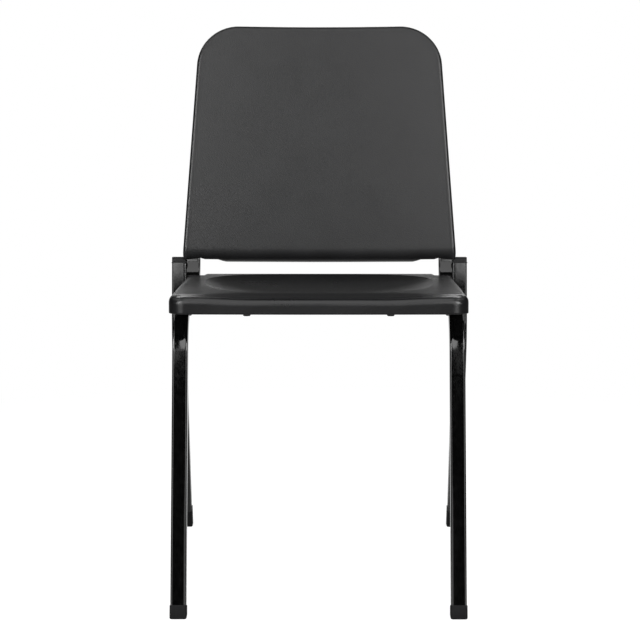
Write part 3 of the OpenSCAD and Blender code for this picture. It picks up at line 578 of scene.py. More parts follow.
def ringTree():
    tree, given = newTree("pressedRing", ["Outer Radius", "Inner Radius", "Height", "Round"],
                          [("Direction", "Vector"), ("Seed", "Int")])
    outer, inner, height = (given[k] for k in ("Outer Radius", "Inner Radius", "Height"))
    middle = addNode(tree, mathNode, multiply, [addNode(tree, mathNode, add, [outer, inner]), 0.5])
    path = {"Resolution": ringSteps["around"], "Radius": middle}
    path = addNode(tree, "GeometryNodeCurvePrimitiveCircle", {}, path)
    section = {"Width": addNode(tree, mathNode, subtract, [outer, inner]), "Height": height}
    section = addNode(tree, "GeometryNodeCurvePrimitiveQuadrilateral", {"mode": "RECTANGLE"}, section)
    section = {"Curve": section, "Radius": given["Round"], "Limit Radius": True, "Count": ringSteps["edge"]}
    section = addNode(tree, "GeometryNodeFilletCurve", {"mode": "POLY"}, section)
    ring = addNode(tree, "GeometryNodeCurveToMesh", {}, {"Curve": path, "Profile Curve": section})
    ring = raised(tree, ring, addNode(tree, mathNode, multiply, [height, -0.5]))
    return endTree(tree, given, placed(tree, given, ring))


bentTube, weldBead, panHeadScrew, pressedRing = tubeTree(), weldTree(), screwTree(), ringTree()
print("node trees built")

# Tubes, swept along their bent centrelines. A bend's outer wall sinks in by its hollow.
sweep = dict(bendSteps=36, leanSteps=6, points=96, frontHollow=0.9, backHollow=1.0, legHollow=0.35,
             fade=0.25)


def station(x, place, angle=0.0, hollow=0.0):  # a point of a path, with the hollow of the wall there
    return fromSide(x, place), np.array([0, *across(angle)]) * hollow


def bendStations(x, place, start, end, radius, hollow):  # the hollow fades out at both ends of the bend
    side = 1 if end > start else -1
    centre = place + side * radius * across(start)
    stations = []
    for i in range(sweep["bendSteps"] + 1):
        share = i / sweep["bendSteps"]
        angle = start + (end - start) * share
        sink = side * hollow * smooth(share / sweep["fade"]) * smooth((1 - share) / sweep["fade"])
        stations.append(station(x, centre - side * radius * across(angle), angle, float(sink)))
    return stations


def levelStart(x, foot, rake):  # the tube stops square, just above its cap's floor
    up = (chair["capFloor"] + halfTube * math.sin(rad(abs(rake)))) / math.cos(rad(rake))
    return station(x, foot + up * along(rake))


mainPath = [levelStart(railX, frontFoot, chair["frontRake"])]
mainPath += bendStations(railX, frontCorner - frontTangent * along(chair["frontRake"]), chair["frontRake"],
                         railHeading, chair["frontBendRadius"], sweep["frontHollow"])
mainPath += bendStations(railX, backCorner - backTangent * along(railHeading), railHeading,
                         chair["recline"], chair["backBendRadius"], sweep["backHollow"])
for i in range(sweep["leanSteps"]):
    leanAngle = chair["sideLean"] * (i + 1) / sweep["leanSteps"]
    mainPath.append((leanStation(leanAngle)[0], np.zeros(3)))
mainPath.append((uprightEnd, np.zeros(3)))
legPath = [levelStart(postX, rearFoot, -chair["rearRake"])]
legPath += bendStations(postX, legCorner + legTangent * along(180 - chair["rearRake"]), -chair["rearRake"],
                        chair["recline"], chair["legBendRadius"], sweep["legHollow"])
legPath.append(station(postX, postTop))


def makeTube(name, path, size, corner, wall, node):
    places = [p[0] for p in path]
    base = pathMesh(name, places, chain(len(places)), {"centre": places, "hollow": [p[1] for p in path]})
    values = {"Size": size * 0.001, "Corner": corner * 0.001, "Wall": wall * 0.001, "Points": sweep["points"],
              "Material": frameCoat}
    return keepPiece(newObject(name, grown(name, base, bentTube, values)), [node])


def onSide(path, side):  # the right side's path, or its mirror image
    turn = np.array([side, 1, 1])
    return [(place * turn, sink * turn) for place, sink in path]


for sideName, side in (("left", -1), ("right", 1)):
    sizes = (chair["tube"], chair["tubeCorner"], chair["tubeWall"])
    makeTube(sideName + "MainTube", onSide(mainPath, side), *sizes, sideName + "_main_tube")
    makeTube(sideName + "RearLeg", onSide(legPath, side), *sizes, sideName + "_rear_leg")
print("square tubes swept")

# Round tubes that tie the two side frames
cross = dict(radius=9.5, wall=1.5, frontShare=0.73, rearDrop=24, weldLeg=3.5)
frontCrossTurn = chair["frontRake"] + cross["frontShare"] * (railHeading - chair["frontRake"])
frontBendIn = frontCorner - frontTangent * along(chair["frontRake"])
frontCrossAt = frontBendIn + chair["frontBendRadius"] * (across(chair["frontRake"]) - across(frontCrossTurn))
rearCrossAt = backCorner - cross["rearDrop"] / math.cos(rad(chair["recline"])) * along(chair["recline"])
crossEnds = (("front", frontCrossAt, mainFace - chair["tube"]), ("rear", rearCrossAt, mainFace))
for crossName, crossAt, reach in crossEnds:
    crossPath = [station(x, crossAt) for x in (-reach, 0.0, reach)]
    makeTube(crossName + "CrossTube", crossPath, 2 * cross["radius"], cross["radius"], cross["wall"],
             crossName + "_cross_tube")
print("cross tubes swept")

# Welds. The tilt turns a bead's quarter round into its corner.
weld = dict(topLeg=4.6, endLeg=3.2, topGap=0.4, length=30.0, pitch=2.6, taper=2.5, tilt=180.0, seed=3.0,
            crossPitch=2.4, crossTaper=0.001, crossTilt=90.0, crossSeed=11.0, crossPoints=64, ripple=0.16,
            wander=0.16, crease=60)


def layWeld(name, base, leg, endShare, pitch, taper, tilt, seed):
    values = {"Leg": leg * 0.001, "End Share": endShare, "Pitch": pitch * 0.001, "Taper": taper * 0.001,
              "Tilt": rad(tilt), "Seed": seed, "Ripple": weld["ripple"], "Wander": weld["wander"],
              "Material": weldCoatPaintedHighlight}
    return grown(name, base, weldBead, values, weld["crease"])


postFront = fromSide(mainFace, postTop - halfTube * across(chair["recline"]))
beadEnds = [postFront - weld["topGap"] * upDirection, postFront - weld["length"] * upDirection]
rightBead = layWeld("rightPostWeld", pathMesh("postWeld", beadEnds, chain(2)), weld["topLeg"],
                    weld["endLeg"] / weld["topLeg"], weld["pitch"], weld["taper"], weld["tilt"], weld["seed"])
keepPiece(newObject("rightPostWeld", rightBead), ["right_post_weld"])
keepPiece(newObject("leftPostWeld", mirrored(rightBead, "leftPostWeld")), ["left_post_weld"])

endWelds = []
turns = [2 * math.pi * i / weld["crossPoints"] for i in range(weld["crossPoints"])]
for i, (crossName, crossAt, reach) in enumerate(crossEnds):
    middle = fromSide(reach, crossAt)
    ring = [middle + cross["radius"] * np.array([0, math.cos(a), math.sin(a)]) for a in turns]
    base = pathMesh("endWeld", ring, chain(weld["crossPoints"], True))
    endWelds.append(layWeld(crossName + "EndWeld", base, cross["weldLeg"], 1.0, weld["crossPitch"],
                            weld["crossTaper"], weld["crossTilt"], weld["crossSeed"] + i))
    endWelds.append(mirrored(endWelds[-1], crossName + "OtherEndWeld"))
crossWelds = together("crossTubeWelds", endWelds)
keepPiece(newObject("crossTubeWelds", crossWelds), ["cross_tube_welds"])
print("welds laid")

# Screws and washers: the seat's come up through the rails, the back's through the cover and the uprights
seatFixing = dict(headRadius=4.8, headHeight=3.0, washerRadius=7.0, washer=1.2, into=6.0)
backFixing = dict(headRadius=4.6, headHeight=2.6, washerRadius=6.5, washer=1.0, into=2.2)
fixings = dict(seatShares=(0.15, 0.84), backUp=60.0, backBelowEnd=23.5, shank=2.2, hole=0.15,
               washerRound=0.25, bossRadius=5.5, bossRound=0.3, seed=7)


def seatY(place):  # where a place in the side plane lies along the seat
    c, s = math.cos(rad(seat["slope"])), math.sin(rad(seat["slope"]))
    return (place[0] - seat["setback"]) * c - (place[1] - seat["height"]) * s


backBendY = seatY(backCorner - backTangent * along(railHeading))
frontBendY = seatY(frontCorner + frontTangent * along(railHeading))
seatScrewYs = [frontBendY + share * (backBendY - frontBendY) for share in fixings["seatShares"]]
backScrewYs = [fixings["backUp"], back["height"] - chair["uprightBelowTop"] - fixings["backBelowEnd"]]
coverOut = chair["tube"] - tubeGap + cover["rest"] + back["wall"]
seatDown = fromSeat([[0, 0, -1]])[0] - fromSeat([[0, 0, 0]])[0]
backOut = fromBack([[0, 0, 1]])[0] - fromBack([[0, 0, 0]])[0]


def seatPlaces(z):  # the seat's four screws, at this height over its plane
    return fromSeat([[side * railX, y, z] for side in (-1, 1) for y in seatScrewYs])


def backPlaces(z):  # the back's four screws, on the middle lines of the uprights
    return fromBack([[side * uprightX(y), y, z] for side in (-1, 1) for y in backScrewYs])


def growRow(name, places, tree, sizes, direction, material, nodes):  # one tree's shape on each place
    values = {label: size * 0.001 for label, size in sizes.items()}
    values.update({"Direction": tuple(direction), "Seed": fixings["seed"], "Material": material})
    mesh = grown(name, pathMesh(name, places, []), tree, values)
    return keepPiece(newObject(name, mesh), nodes)


seatBearing = -seat["edgeHeight"] - chair["tube"] - seatFixing["washer"]
rows = (("seat", seatPlaces(seatBearing), seatFixing, seatDown, chair["tube"]),
        ("back", backPlaces(coverOut + backFixing["washer"]), backFixing, backOut, coverOut + tubeGap))
for name, places, sizes, direction, through in rows:
    screw = {"Head Radius": sizes["headRadius"], "Head Height": sizes["headHeight"],
             "Shank Radius": fixings["shank"], "Length": sizes["washer"] + through + sizes["into"]}
    growRow(name + "Screws", places, panHeadScrew, screw, direction, screwZinc,
            [name + "_screws"])
for name, places, sizes, direction, through in rows:
    washer = {"Outer Radius": sizes["washerRadius"], "Inner Radius": fixings["shank"] + fixings["hole"],
              "Height": sizes["washer"], "Round": fixings["washerRound"]}
    growRow(name + "Washers", places, pressedRing, washer, direction, screwZinc,
            [name + "_washers"])
print("screws and washers placed")

# Foot caps: a sleeve with a level sole, its edges rounded
footCap = dict(rimRound=0.9, soleRound=1.4, angles=(0, 22, 45, 68, 90), leastCorner=0.8, rimDrop=0.1,
               cornerSteps=8, crease=30)


def roundedSquare(half, halfDeep, corner, steps):
    ring = []
    for k in range(4):
        right, up = (1 if k in (0, 3) else -1), (1 if k < 2 else -1)
        ring += arc((right * (half - corner), up * (halfDeep - corner)), corner, 90 * k, 90 * k + 90, steps)
    return np.array(ring)


def legRing(x, foot, rake, inset, atLength):  # square to the leg
    half = halfTube + chair["capProud"] - inset
    corner = max(chair["tubeCorner"] + chair["capProud"] - inset, footCap["leastCorner"])
    ring = roundedSquare(half, half, corner, footCap["cornerSteps"])
    middle = fromSide(x, foot + atLength * along(rake))
    return np.array([middle + np.array([p[0], *(p[1] * across(rake))]) for p in ring])


def levelRing(x, foot, rake, inset, height):  # cut level at a height
    direction, ring = np.array([0, *along(rake)]), legRing(x, foot, rake, inset, 0)
    return np.array([p + direction * (height - p[2]) / direction[2] for p in ring])


def makeFootCap(name, x, foot, rake, length, node):
    edge, sole = footCap["rimRound"], footCap["soleRound"]
    rings = []
    for angle in footCap["angles"]:
        inset, high = sole * (1 - math.sin(rad(angle))), sole * (1 - math.cos(rad(angle)))
        rings.append(levelRing(x, foot, rake, inset, high))
    for angle in footCap["angles"]:
        inset, down = edge * (1 - math.cos(rad(angle))), edge * (1 - math.sin(rad(angle)))
        rings.append(legRing(x, foot, rake, inset, length - down))
    rings.append(legRing(x, foot, rake, chair["capProud"], length - footCap["rimDrop"]))
    rings.append(levelRing(x, foot, rake, chair["capProud"], chair["capFloor"]))
    return makePiece(name, rings, capNylon, [node], footCap["crease"])


for sideName, side in (("Left", -1), ("Right", 1)):
    node = sideName.lower() + "_foot_cap"
    makeFootCap("front" + sideName + "FootCap", side * railX, frontFoot, chair["frontRake"],
                chair["frontCapLength"], "front_" + node)
    makeFootCap("rear" + sideName + "FootCap", side * postX, rearFoot, -chair["rearRake"],
                chair["rearCapLength"], "rear_" + node)
print("foot caps made")

# Plugs in the open tops of the rear legs and uprights: a ribbed stem inside, then a lip and a domed head
plug = dict(deep=16.0, fit=0.1, tipIn=1.2, tipCorner=1.2, tipLength=1, stemIn=0.5, stemCorner=1.5, ribs=3,
            ribFrom=1.5, ribSpan=4, ribRise=0.6, ribLength=1.8, ribCorner=1.8, corner=2.2, lip=1.1,
            lipProud=0.35, lipRound=0.3, step=0.45, stepUp=0.2, headSteps=8, headCorner=0.95, cornerSteps=8,
            crease=35)
postHead = dict(height=10.0, crown=5.5, edge=1.3, proud=0.5)
uprightHead = dict(height=2.0, crown=0.8, edge=0.8, proud=0.0)


def plugRings(head):  # half widths, corner and height of each ring, from the tip up
    inside = halfTube - chair["tubeWall"] - plug["fit"]
    stem, wide, body = inside - plug["stemIn"], halfTube + plug["lipProud"], halfTube - plug["step"]
    corner, lip = plug["corner"], plug["lip"]
    rows = [(inside - plug["tipIn"], plug["tipCorner"], -plug["deep"]),
            (stem, plug["stemCorner"], -plug["deep"] + plug["tipLength"])]
    for i in range(plug["ribs"]):
        low = -plug["deep"] + plug["ribFrom"] + i * (plug["deep"] - plug["ribSpan"]) / plug["ribs"]
        rows += [(stem, plug["stemCorner"], low), (inside, plug["ribCorner"], low + plug["ribRise"]),
                 (stem, plug["stemCorner"], low + plug["ribLength"])]
    rows += [(stem, plug["stemCorner"], 0.0), (halfTube, corner, 0.0), (wide, corner, plug["lipRound"]),
             (wide, corner, lip - plug["lipRound"]), (halfTube, corner, lip),
             (body, corner, lip + plug["stepUp"])]
    rings = [(half, half, corner, height) for half, corner, height in rows]
    edge, top = head["edge"], head["height"]
    for i in range(plug["headSteps"] + 1):
        angle = rad(90 * i / plug["headSteps"])
        deepIn, up = head["crown"] * (1 - math.cos(angle)), top - head["crown"] * (1 - math.sin(angle))
        wideIn = edge - math.sqrt(max(edge ** 2 - max(up - (top - edge), 0) ** 2, 0))
        halfWide, halfDeep = body - wideIn, body - deepIn
        rings.append((halfWide, halfDeep, min(corner, halfWide, halfDeep) * plug["headCorner"], up))
    return rings


def makePlug(name, place, right, up, side, head, node):  # all above the tube's end is shifted out
    rings = []
    for halfWide, halfDeep, corner, height in plugRings(head):
        shift = head["proud"] if height >= 0 else 0.0
        ring = roundedSquare(halfWide, halfDeep, corner, plug["cornerSteps"])
        ring = np.array([place + (p[0] + shift) * right + p[1] * backAcross + height * up for p in ring])
        rings.append(ring * np.array([side, 1, 1]))
    return makePiece(name, rings, plugNylonPaintedShade, [node], plug["crease"])


backAcross = np.array([0, *across(chair["recline"])])
leanRight = leanStation(chair["sideLean"])[1]
for sideName, side in (("left", -1), ("right", 1)):
    makePlug(sideName + "PostPlug", fromSide(postX, postTop), acrossX, upDirection, side, postHead,
             sideName + "_post_plug")
    makePlug(sideName + "UprightPlug", uprightEnd, leanRight, uprightDirection, side, uprightHead,
             sideName + "_upright_plug")
print("plugs made")

# Rubber bumpers on two posts under the seat's front. Each is turned: a flat sole, a barrel and a blind hole.
bumper = dict(x=103, y=62, drop=34.5, radius=6.0, height=9.0, postRadius=4.0, postIn=5.0, round=1.2, steps=6,
              soleIn=0.25, soleOut=0.6, heel=0.75, heelRound=0.3, heelSteps=4, taper=0.1, mouth=0.3, core=0.4,
              around=48, crease=35, postHole=1.4, postRound=0.3)


def makeBumper(name, side, node):
    r, h, e, hole = bumper["radius"], bumper["height"], bumper["round"], bumper["postRadius"]
    heel, mouth, depth = bumper["heelRound"], bumper["mouth"], h - bumper["postIn"]
    profile = [(r * bumper["soleIn"], 0), (r * bumper["soleOut"], 0)]
    profile += arc((r * bumper["heel"], heel), heel, -90, -30, bumper["heelSteps"])
    profile += [(r - bumper["taper"], h / 4)] + arc((r - e, h - e), e, 0, 90, bumper["steps"])
    profile += [(hole + mouth, h), (hole, h - mouth), (hole, depth), (hole * bumper["core"], depth)]
    turns = [2 * math.pi * i / bumper["around"] for i in range(bumper["around"])]
    rings = []
    for radius, height in profile:
        around = [(radius * math.cos(a), radius * math.sin(a)) for a in turns]
        x, y, z = side * bumper["x"], bumper["y"], height - bumper["drop"]
        rings.append(fromSeat([(x + p, y + q, z) for p, q in around]))
    return makePiece(name, rings, bumperRubber, [node], bumper["crease"])


for sideName, side in (("left", -1), ("right", 1)):
    makeBumper(sideName + "StackBumper", side, sideName + "_stack_bumper")
# Moulded with the seat: bosses round the seat's screws, and the posts that carry the bumpers
bossSizes = {"Outer Radius": fixings["bossRadius"], "Inner Radius": fixings["shank"],
             "Height": seat["edgeHeight"] - seat["wall"] / 2, "Round": fixings["bossRound"]}
growRow("seatBosses", seatPlaces(-seat["edgeHeight"]), pressedRing, bossSizes, seatDown, seatPlastic,
        [])
postFrom = -bumper["drop"] + bumper["height"] - bumper["postIn"]
postSizes = {"Outer Radius": bumper["postRadius"], "Inner Radius": bumper["postHole"],
             "Height": -postFrom - seat["frontFall"] - seat["wall"] / 2, "Round": bumper["postRound"]}
postPlaces = fromSeat([[side * bumper["x"], bumper["y"], postFrom] for side in (-1, 1)])
growRow("bumperPosts", postPlaces, pressedRing, postSizes, seatDown, seatPlastic, [])
print("bumpers and bosses made")

# Seat pan: rings from the bowl's middle, over the edge and back along the underside
backBendInside = chair["backBendRadius"] - halfTube
frontBendOutside = chair["frontBendRadius"] + halfTube
notchY = backBendY + math.sqrt(backBendInside ** 2 - (backBendInside - seat["notchClear"]) ** 2)
notchWidth = 2 * (mainFace - chair["tube"] - seat["notchGap"])
pan = dict(front=40, corner=16, side=60, smallArc=6, rear=24, bowlRings=28, bowlPower=1.5, roundRings=14,
           underRings=14, skirtRings=8, lipAngles=(30, 60, 90), marginStep=2.2, leastSkirt=1, underIn=2,
           underDrop=1, underLeast=0.5)


def bendDrop(radius, over):  # how far a bend has left its tangent, at a distance past where it starts
    o = np.clip(over, 0, radius)
    return radius - np.sqrt(radius * radius - o * o)


def seatOutline(d):  # the seat's outline, drawn in by d
    # Half widths, radii and depths of the front, the sides' rear ends and the notch for the tube
    fw, rw, nw = seatFrontWidth / 2 - d, seatRearWidth / 2 - d, notchWidth / 2 - d
    fr, sr = (max(seat[name] - d, seat["leastRadius"]) for name in ("cornerRadius", "sideEndRadius"))
    nr = seat["notchRadius"] + d
    fy, ny, ry = d + seat["bow"] + fr, notchY - d, seat["depth"] - d
    half = [((fw - fr) * t, d + seat["bow"] * t * t) for t in np.arange(pan["front"]) / pan["front"]]
    half += arc((fw - fr, fy), fr, -90, 0, pan["corner"])
    half += [(fw + (rw - fw) * t, fy + (ny - sr - fy) * t) for t in np.arange(1, pan["side"]) / pan["side"]]
    half += arc((rw - sr, ny - sr), sr, 0, 90, pan["smallArc"])
    half += arc((nw + nr, ny + nr), nr, 270, 180, pan["smallArc"])
    half += arc((nw - sr, ry - sr), sr, 0, 90, pan["smallArc"])
    half += [((nw - sr) * (1 - t), ry) for t in np.arange(1, pan["rear"]) / pan["rear"]]
    return bothHalves(half)


bowlMid = (seat["bowlFront"] + seat["depth"] - seat["bowlRear"]) / 2
bowlHalfDepth = (seat["depth"] - seat["bowlRear"] - seat["bowlFront"]) / 2


def bowlHalfWidth(y):
    return seatFrontWidth / 2 - seat["bowlSide"] + seat["bowlFlare"] * (y - bowlMid)


def bowlRho(u, v):  # 0 in the bowl's middle, 1 on its rim
    return (np.abs(u) ** seat["bowlPower"] + np.abs(v) ** seat["bowlPower"]) ** (1 / seat["bowlPower"])


def bowlRing(outline, share):  # the bowl's ring at this share of its rim
    u, v = outline[:, 0] / bowlHalfWidth(outline[:, 1]), (outline[:, 1] - bowlMid) / bowlHalfDepth
    rho = bowlRho(u, v)
    y = bowlMid + v * share / rho * bowlHalfDepth
    return np.stack([u * share / rho * bowlHalfWidth(y), y], 1)


def seatTop(p):  # the bowl, the fall of the front towards its corners, and the groove
    x, y = p[:, 0], p[:, 1]
    rho = bowlRho(x / bowlHalfWidth(y), (y - bowlMid) / bowlHalfDepth)
    bowl = np.where(rho < 1, seat["bowlDepth"] * (1 - np.minimum(rho, 1) ** seat["bowlWallPower"]), 0)
    sideways = seatFrontWidth / 2 - seat["cornerFallIn"] - seat["fullFallTo"]
    side = 1 - smooth((np.abs(x) - seat["fullFallTo"]) / sideways)
    keep = seat["cornerFallShare"] + (1 - seat["cornerFallShare"]) * side
    reach = (seat["bowlFront"] - seat["grooveAt"]) * keep
    fall = seat["frontFall"] * keep * smooth((seat["grooveAt"] + reach - y) / reach)
    groove = seat["grooveDepth"] * (1 - smooth(np.abs(y - seat["grooveAt"]) / seat["grooveWidth"]))
    return -bowl - fall - groove


def seatBottom(p):  # the skirt's lower edge: it runs along the tubes and steps up behind them
    tubeTop = (-seat["edgeHeight"] + seat["railGap"] + bendDrop(backBendInside, p[:, 1] - backBendY)
               - bendDrop(frontBendOutside, frontBendY - p[:, 1]))
    behindNotch = p[:, 1] > notchY + seat["leastRadius"]
    return np.where(behindNotch, -seat["rearLip"], np.maximum(-seat["lip"], tubeTop))


def buildSeat():
    rim, flat, inset = seatOutline(0), seatOutline(seat["edgeRound"]), seatOutline(seat["flatInset"])
    bottom, top = seatBottom(rim), seatTop(flat)
    crest = bowlRing(inset, 1.0)
    bowlShares = 1 - (1 - np.arange(1, pan["bowlRings"] + 1) / pan["bowlRings"]) ** pan["bowlPower"]
    marginRings = math.ceil((seat["bowlFront"] - seat["flatInset"]) / pan["marginStep"])
    marginShares = np.arange(1, marginRings + 1) / marginRings
    upper = [bowlRing(inset, s) for s in bowlShares] + [crest + s * (inset - crest) for s in marginShares]
    rings = [lift(r, seatTop(r)) for r in upper]
    for i in range(pan["roundRings"] + 1):
        a = 90 * i / pan["roundRings"]
        r = seatOutline(seat["edgeRound"] * (1 - math.sin(rad(a))))
        high = np.minimum(seat["edgeRound"], top - bottom - pan["leastSkirt"])
        rings.append(lift(r, top - high * (1 - math.cos(rad(a)))))
    skirtTop = rings[-1][:, 2]
    lip = np.minimum(seat["lipRound"], (skirtTop - bottom) / 2)
    for i in range(1, pan["skirtRings"] + 1):
        rings.append(lift(rim, skirtTop + (bottom + lip - skirtTop) * i / pan["skirtRings"]))
    for a in pan["lipAngles"]:
        turned = seatOutline(seat["lipRound"] * (1 - math.cos(rad(a))))
        rings.append(lift(turned, bottom + lip * (1 - math.sin(rad(a)))))
    rings.append(lift(seatOutline(seat["wall"]), bottom))
    under = seatOutline(seat["wall"] + pan["underIn"])
    underTop = seatTop(under) - seat["wall"] - pan["underDrop"]
    rings.append(lift(under, np.maximum(underTop, bottom + pan["underLeast"])))
    step = max(1, len(upper) // pan["underRings"])
    rings += [lift(r, seatTop(r) - seat["wall"]) for r in upper[::-step]]
    return makePiece("seatPan", [fromSeat(r) for r in rings], seatPlastic, ["seat_shell"])


buildSeat()
print("seat pan made")

# Back shell: rings from the face's middle, over the rolled edge, down the skirt and back inside
shell = dict(foot=30, footArc=5, side=44, sidePower=1.35, cornerArc=22, top=16, faceRings=14, facePower=1.3,
             rollRings=14, skirtRings=8, leastCut=0.5, rimInset=0.3, insideInset=0.4, insideRise=4.0,
             insideSkip=3)
lean = rad(chair["sideLean"])


def backHalfWidth(y):  # the back tapers upwards with the uprights
    return backBottomWidth / 2 - y * math.tan(lean)


def backOutline(sideIn, bottomIn, topRadius, footRadius):  # drawn in from the sides and the bottom
    top = back["height"] - sideIn
    topX = backHalfWidth(top) - sideIn - topRadius * (1 - math.sin(lean)) / math.cos(lean)
    footX = backHalfWidth(bottomIn) - sideIn - footRadius * (1 + math.sin(lean)) / math.cos(lean)
    # The middles of the top and the foot corner, and the straight side between them
    c, b = np.array([topX, top - topRadius]), np.array([footX, bottomIn + footRadius])
    out = np.array([math.cos(lean), math.sin(lean)])
    s0, s1 = b + footRadius * out, c + topRadius * out
    half = [(b[0] * t, bottomIn) for t in np.arange(shell["foot"]) / shell["foot"]]
    half += arc(b, footRadius, -90, chair["sideLean"], shell["footArc"])
    half += [s0 + (s1 - s0) * t ** shell["sidePower"] for t in np.arange(1, shell["side"]) / shell["side"]]
    half += arc(c, topRadius, chair["sideLean"], 90, shell["cornerArc"])
    half += [(c[0] * (1 - t), top) for t in np.arange(1, shell["top"]) / shell["top"]]
    return bothHalves(half)


def backFront(x):  # the hollow of the front across its width
    return -x * x / (2 * back["curveRadius"])


def coverIn(x):  # the cover's inner face: flat on the uprights, bulging between them
    return chair["tube"] - tubeGap + cover["rest"] + cover["bulge"] * (1 - smooth(np.abs(x) / coverFlatX))


def rimZ(x):  # the shell's rear rim stands a little behind the cover
    return coverIn(x) + back["wall"] + cover["sunk"]


def buildBack():
    edge, wall, foot = back["edgeRadius"], back["wall"], back["footCorner"]
    rim = backOutline(0, 0, back["cornerRadius"], foot)
    face = backOutline(edge, back["rollHeight"], back["cornerRadius"] - edge, foot / 2)
    inner = backOutline(wall, wall, back["cornerRadius"] - wall, foot - wall)
    inset = wall + shell["insideInset"]
    inside = backOutline(inset, inset + foot, back["cornerRadius"] - inset, foot - wall)
    # The cut is 1 where the lower edge stops short over the tubes, and 0 elsewhere. There the rolled edge
    # turns through less than 90 degrees.
    cut = ((1 - smooth((rim[:, 1] - back["tubeCutHeight"]) / back["tubeCutRamp"]))
           * smooth((np.abs(rim[:, 0]) - tubeCutX) / back["tubeCutFade"]))
    clear = mainFace - chair["tube"] - seat["notchGap"]
    tubeClear = np.minimum(back["tubeCutDepth"], -tubeGap - back["touchGap"] - backFront(rim[:, 0]))
    cutDepth = np.where(np.abs(rim[:, 0]) < clear, back["tubeCutDepth"], tubeClear)
    roundDepth = edge + (back["rollDepth"] - edge) * (1 - smooth(rim[:, 1] / back["rollHeight"]))
    turned = np.degrees(np.arccos(1 - np.minimum((cutDepth - shell["leastCut"]) / roundDepth, 1)))
    lastAngle = 90 - cut * (90 - turned)
    middle = np.array([0, back["height"] / 2])

    def scaled(share, deep):  # the face's outline at a share of its size
        q = middle + share * (face - middle)
        return lift(q, backFront(q[:, 0]) + deep)

    def edgeAt(share):  # how far out the rolled edge is at a share of its turn
        return face + (rim - face) * np.sin(np.radians(share * lastAngle))[:, None]

    faceShares = np.arange(1, shell["faceRings"] + 1) / (shell["faceRings"] + 1)
    faceShares = 1 - (1 - faceShares) ** shell["facePower"]
    rings = [scaled(s, 0) for s in faceShares]
    for i in range(shell["rollRings"] + 1):
        share = i / shell["rollRings"]
        q = edgeAt(share)
        rings.append(lift(q, backFront(q[:, 0]) + roundDepth * (1 - np.cos(np.radians(share * lastAngle)))))
    last = rings[-1]

    def rimRing(ring, short):  # a ring on the rear rim, or just short of it
        q = ring + edgeAt(1) - rim
        out = back["draft"] * (1 - cut) * smooth(np.abs(q[:, 0]) / back["cornerRadius"]) * np.sign(q[:, 0])
        z = (1 - cut) * rimZ(q[:, 0]) + cut * (backFront(q[:, 0]) + cutDepth)
        return lift(np.stack([q[:, 0] + out, q[:, 1]], 1), z - short * (1 - cut))

    outerRim = rimRing(rim, back["rimRound"])
    for i in range(1, shell["skirtRings"] + 1):
        rings.append(last + (outerRim - last) * i / shell["skirtRings"])
    half = (inner - rim) * shell["rimInset"]
    rings.append(rimRing(rim + half, 0))
    rings.append(rimRing(inner - half, 0))
    rings.append(rimRing(inner, back["rimRound"]))
    rings.append(lift(inside, backFront(inside[:, 0]) + wall + (1 - cut / 2) * shell["insideRise"]))
    rings += [scaled(s, wall) for s in [1, *faceShares[::-shell["insideSkip"]]]]
    return makePiece("backShell", [fromBack(r) for r in rings], backPlastic, ["back_shell"])


# Rear cover: a plate with rounded edges, sunk between the shell's sides
plate = dict(rings=15, innerSkip=3, angles=(0, 22, 45, 67, 90))


def buildCover():
    inset = back["wall"] + cover["gap"]
    rim = backOutline(inset, cover["bottom"], back["cornerRadius"] - inset, cover["cornerRadius"])
    middle = np.array([0, back["height"] / 2])

    def ring(share, up, pull=0.0):
        q = middle + share * (rim - middle)
        length = np.linalg.norm(q - middle, axis=1)[:, None]
        q = q - (q - middle) / length * pull
        return lift(q, coverIn(q[:, 0]) + up)

    shares = np.arange(1, plate["rings"]) / plate["rings"]
    edge = cover["edgeRound"]
    rings = [ring(s, 0) for s in shares[::plate["innerSkip"]]] + [ring(1, 0)]
    for angle in plate["angles"]:
        pull, down = edge * (1 - math.cos(rad(angle))), edge * (1 - math.sin(rad(angle)))
        rings.append(ring(1, back["wall"] - down, pull))
    rings += [ring(s, back["wall"]) for s in shares[::-1]]
    rings = [fromBack(r) for r in rings]
    return makePiece("rearCover", rings, coverPlastic, ["back_cover"])


buildBack()
buildCover()
print("back shell and cover made")

# Floor and room. The camera sees the floor as white paper. In the chair's gloss it is dark, but for a wedge
# behind the chair that grows paler to the rear.
paper = dict(size=40.0, colour="#f0f0f0", bounce="#a0a0a0", shadowShare=0.3, glow=0.87, fadeFrom=0.7,
             fadeTo=1.5, flare=1.5, behindFrom=-0.6, behindTo=1.2, leastLevel=0.05, mostLevel=0.75)
room = dict(soft=0.12, flags=0.03, cardFrom=0.8, cardTo=0.93, lowTo=0.02, highFrom=0.07, highShare=0.15)


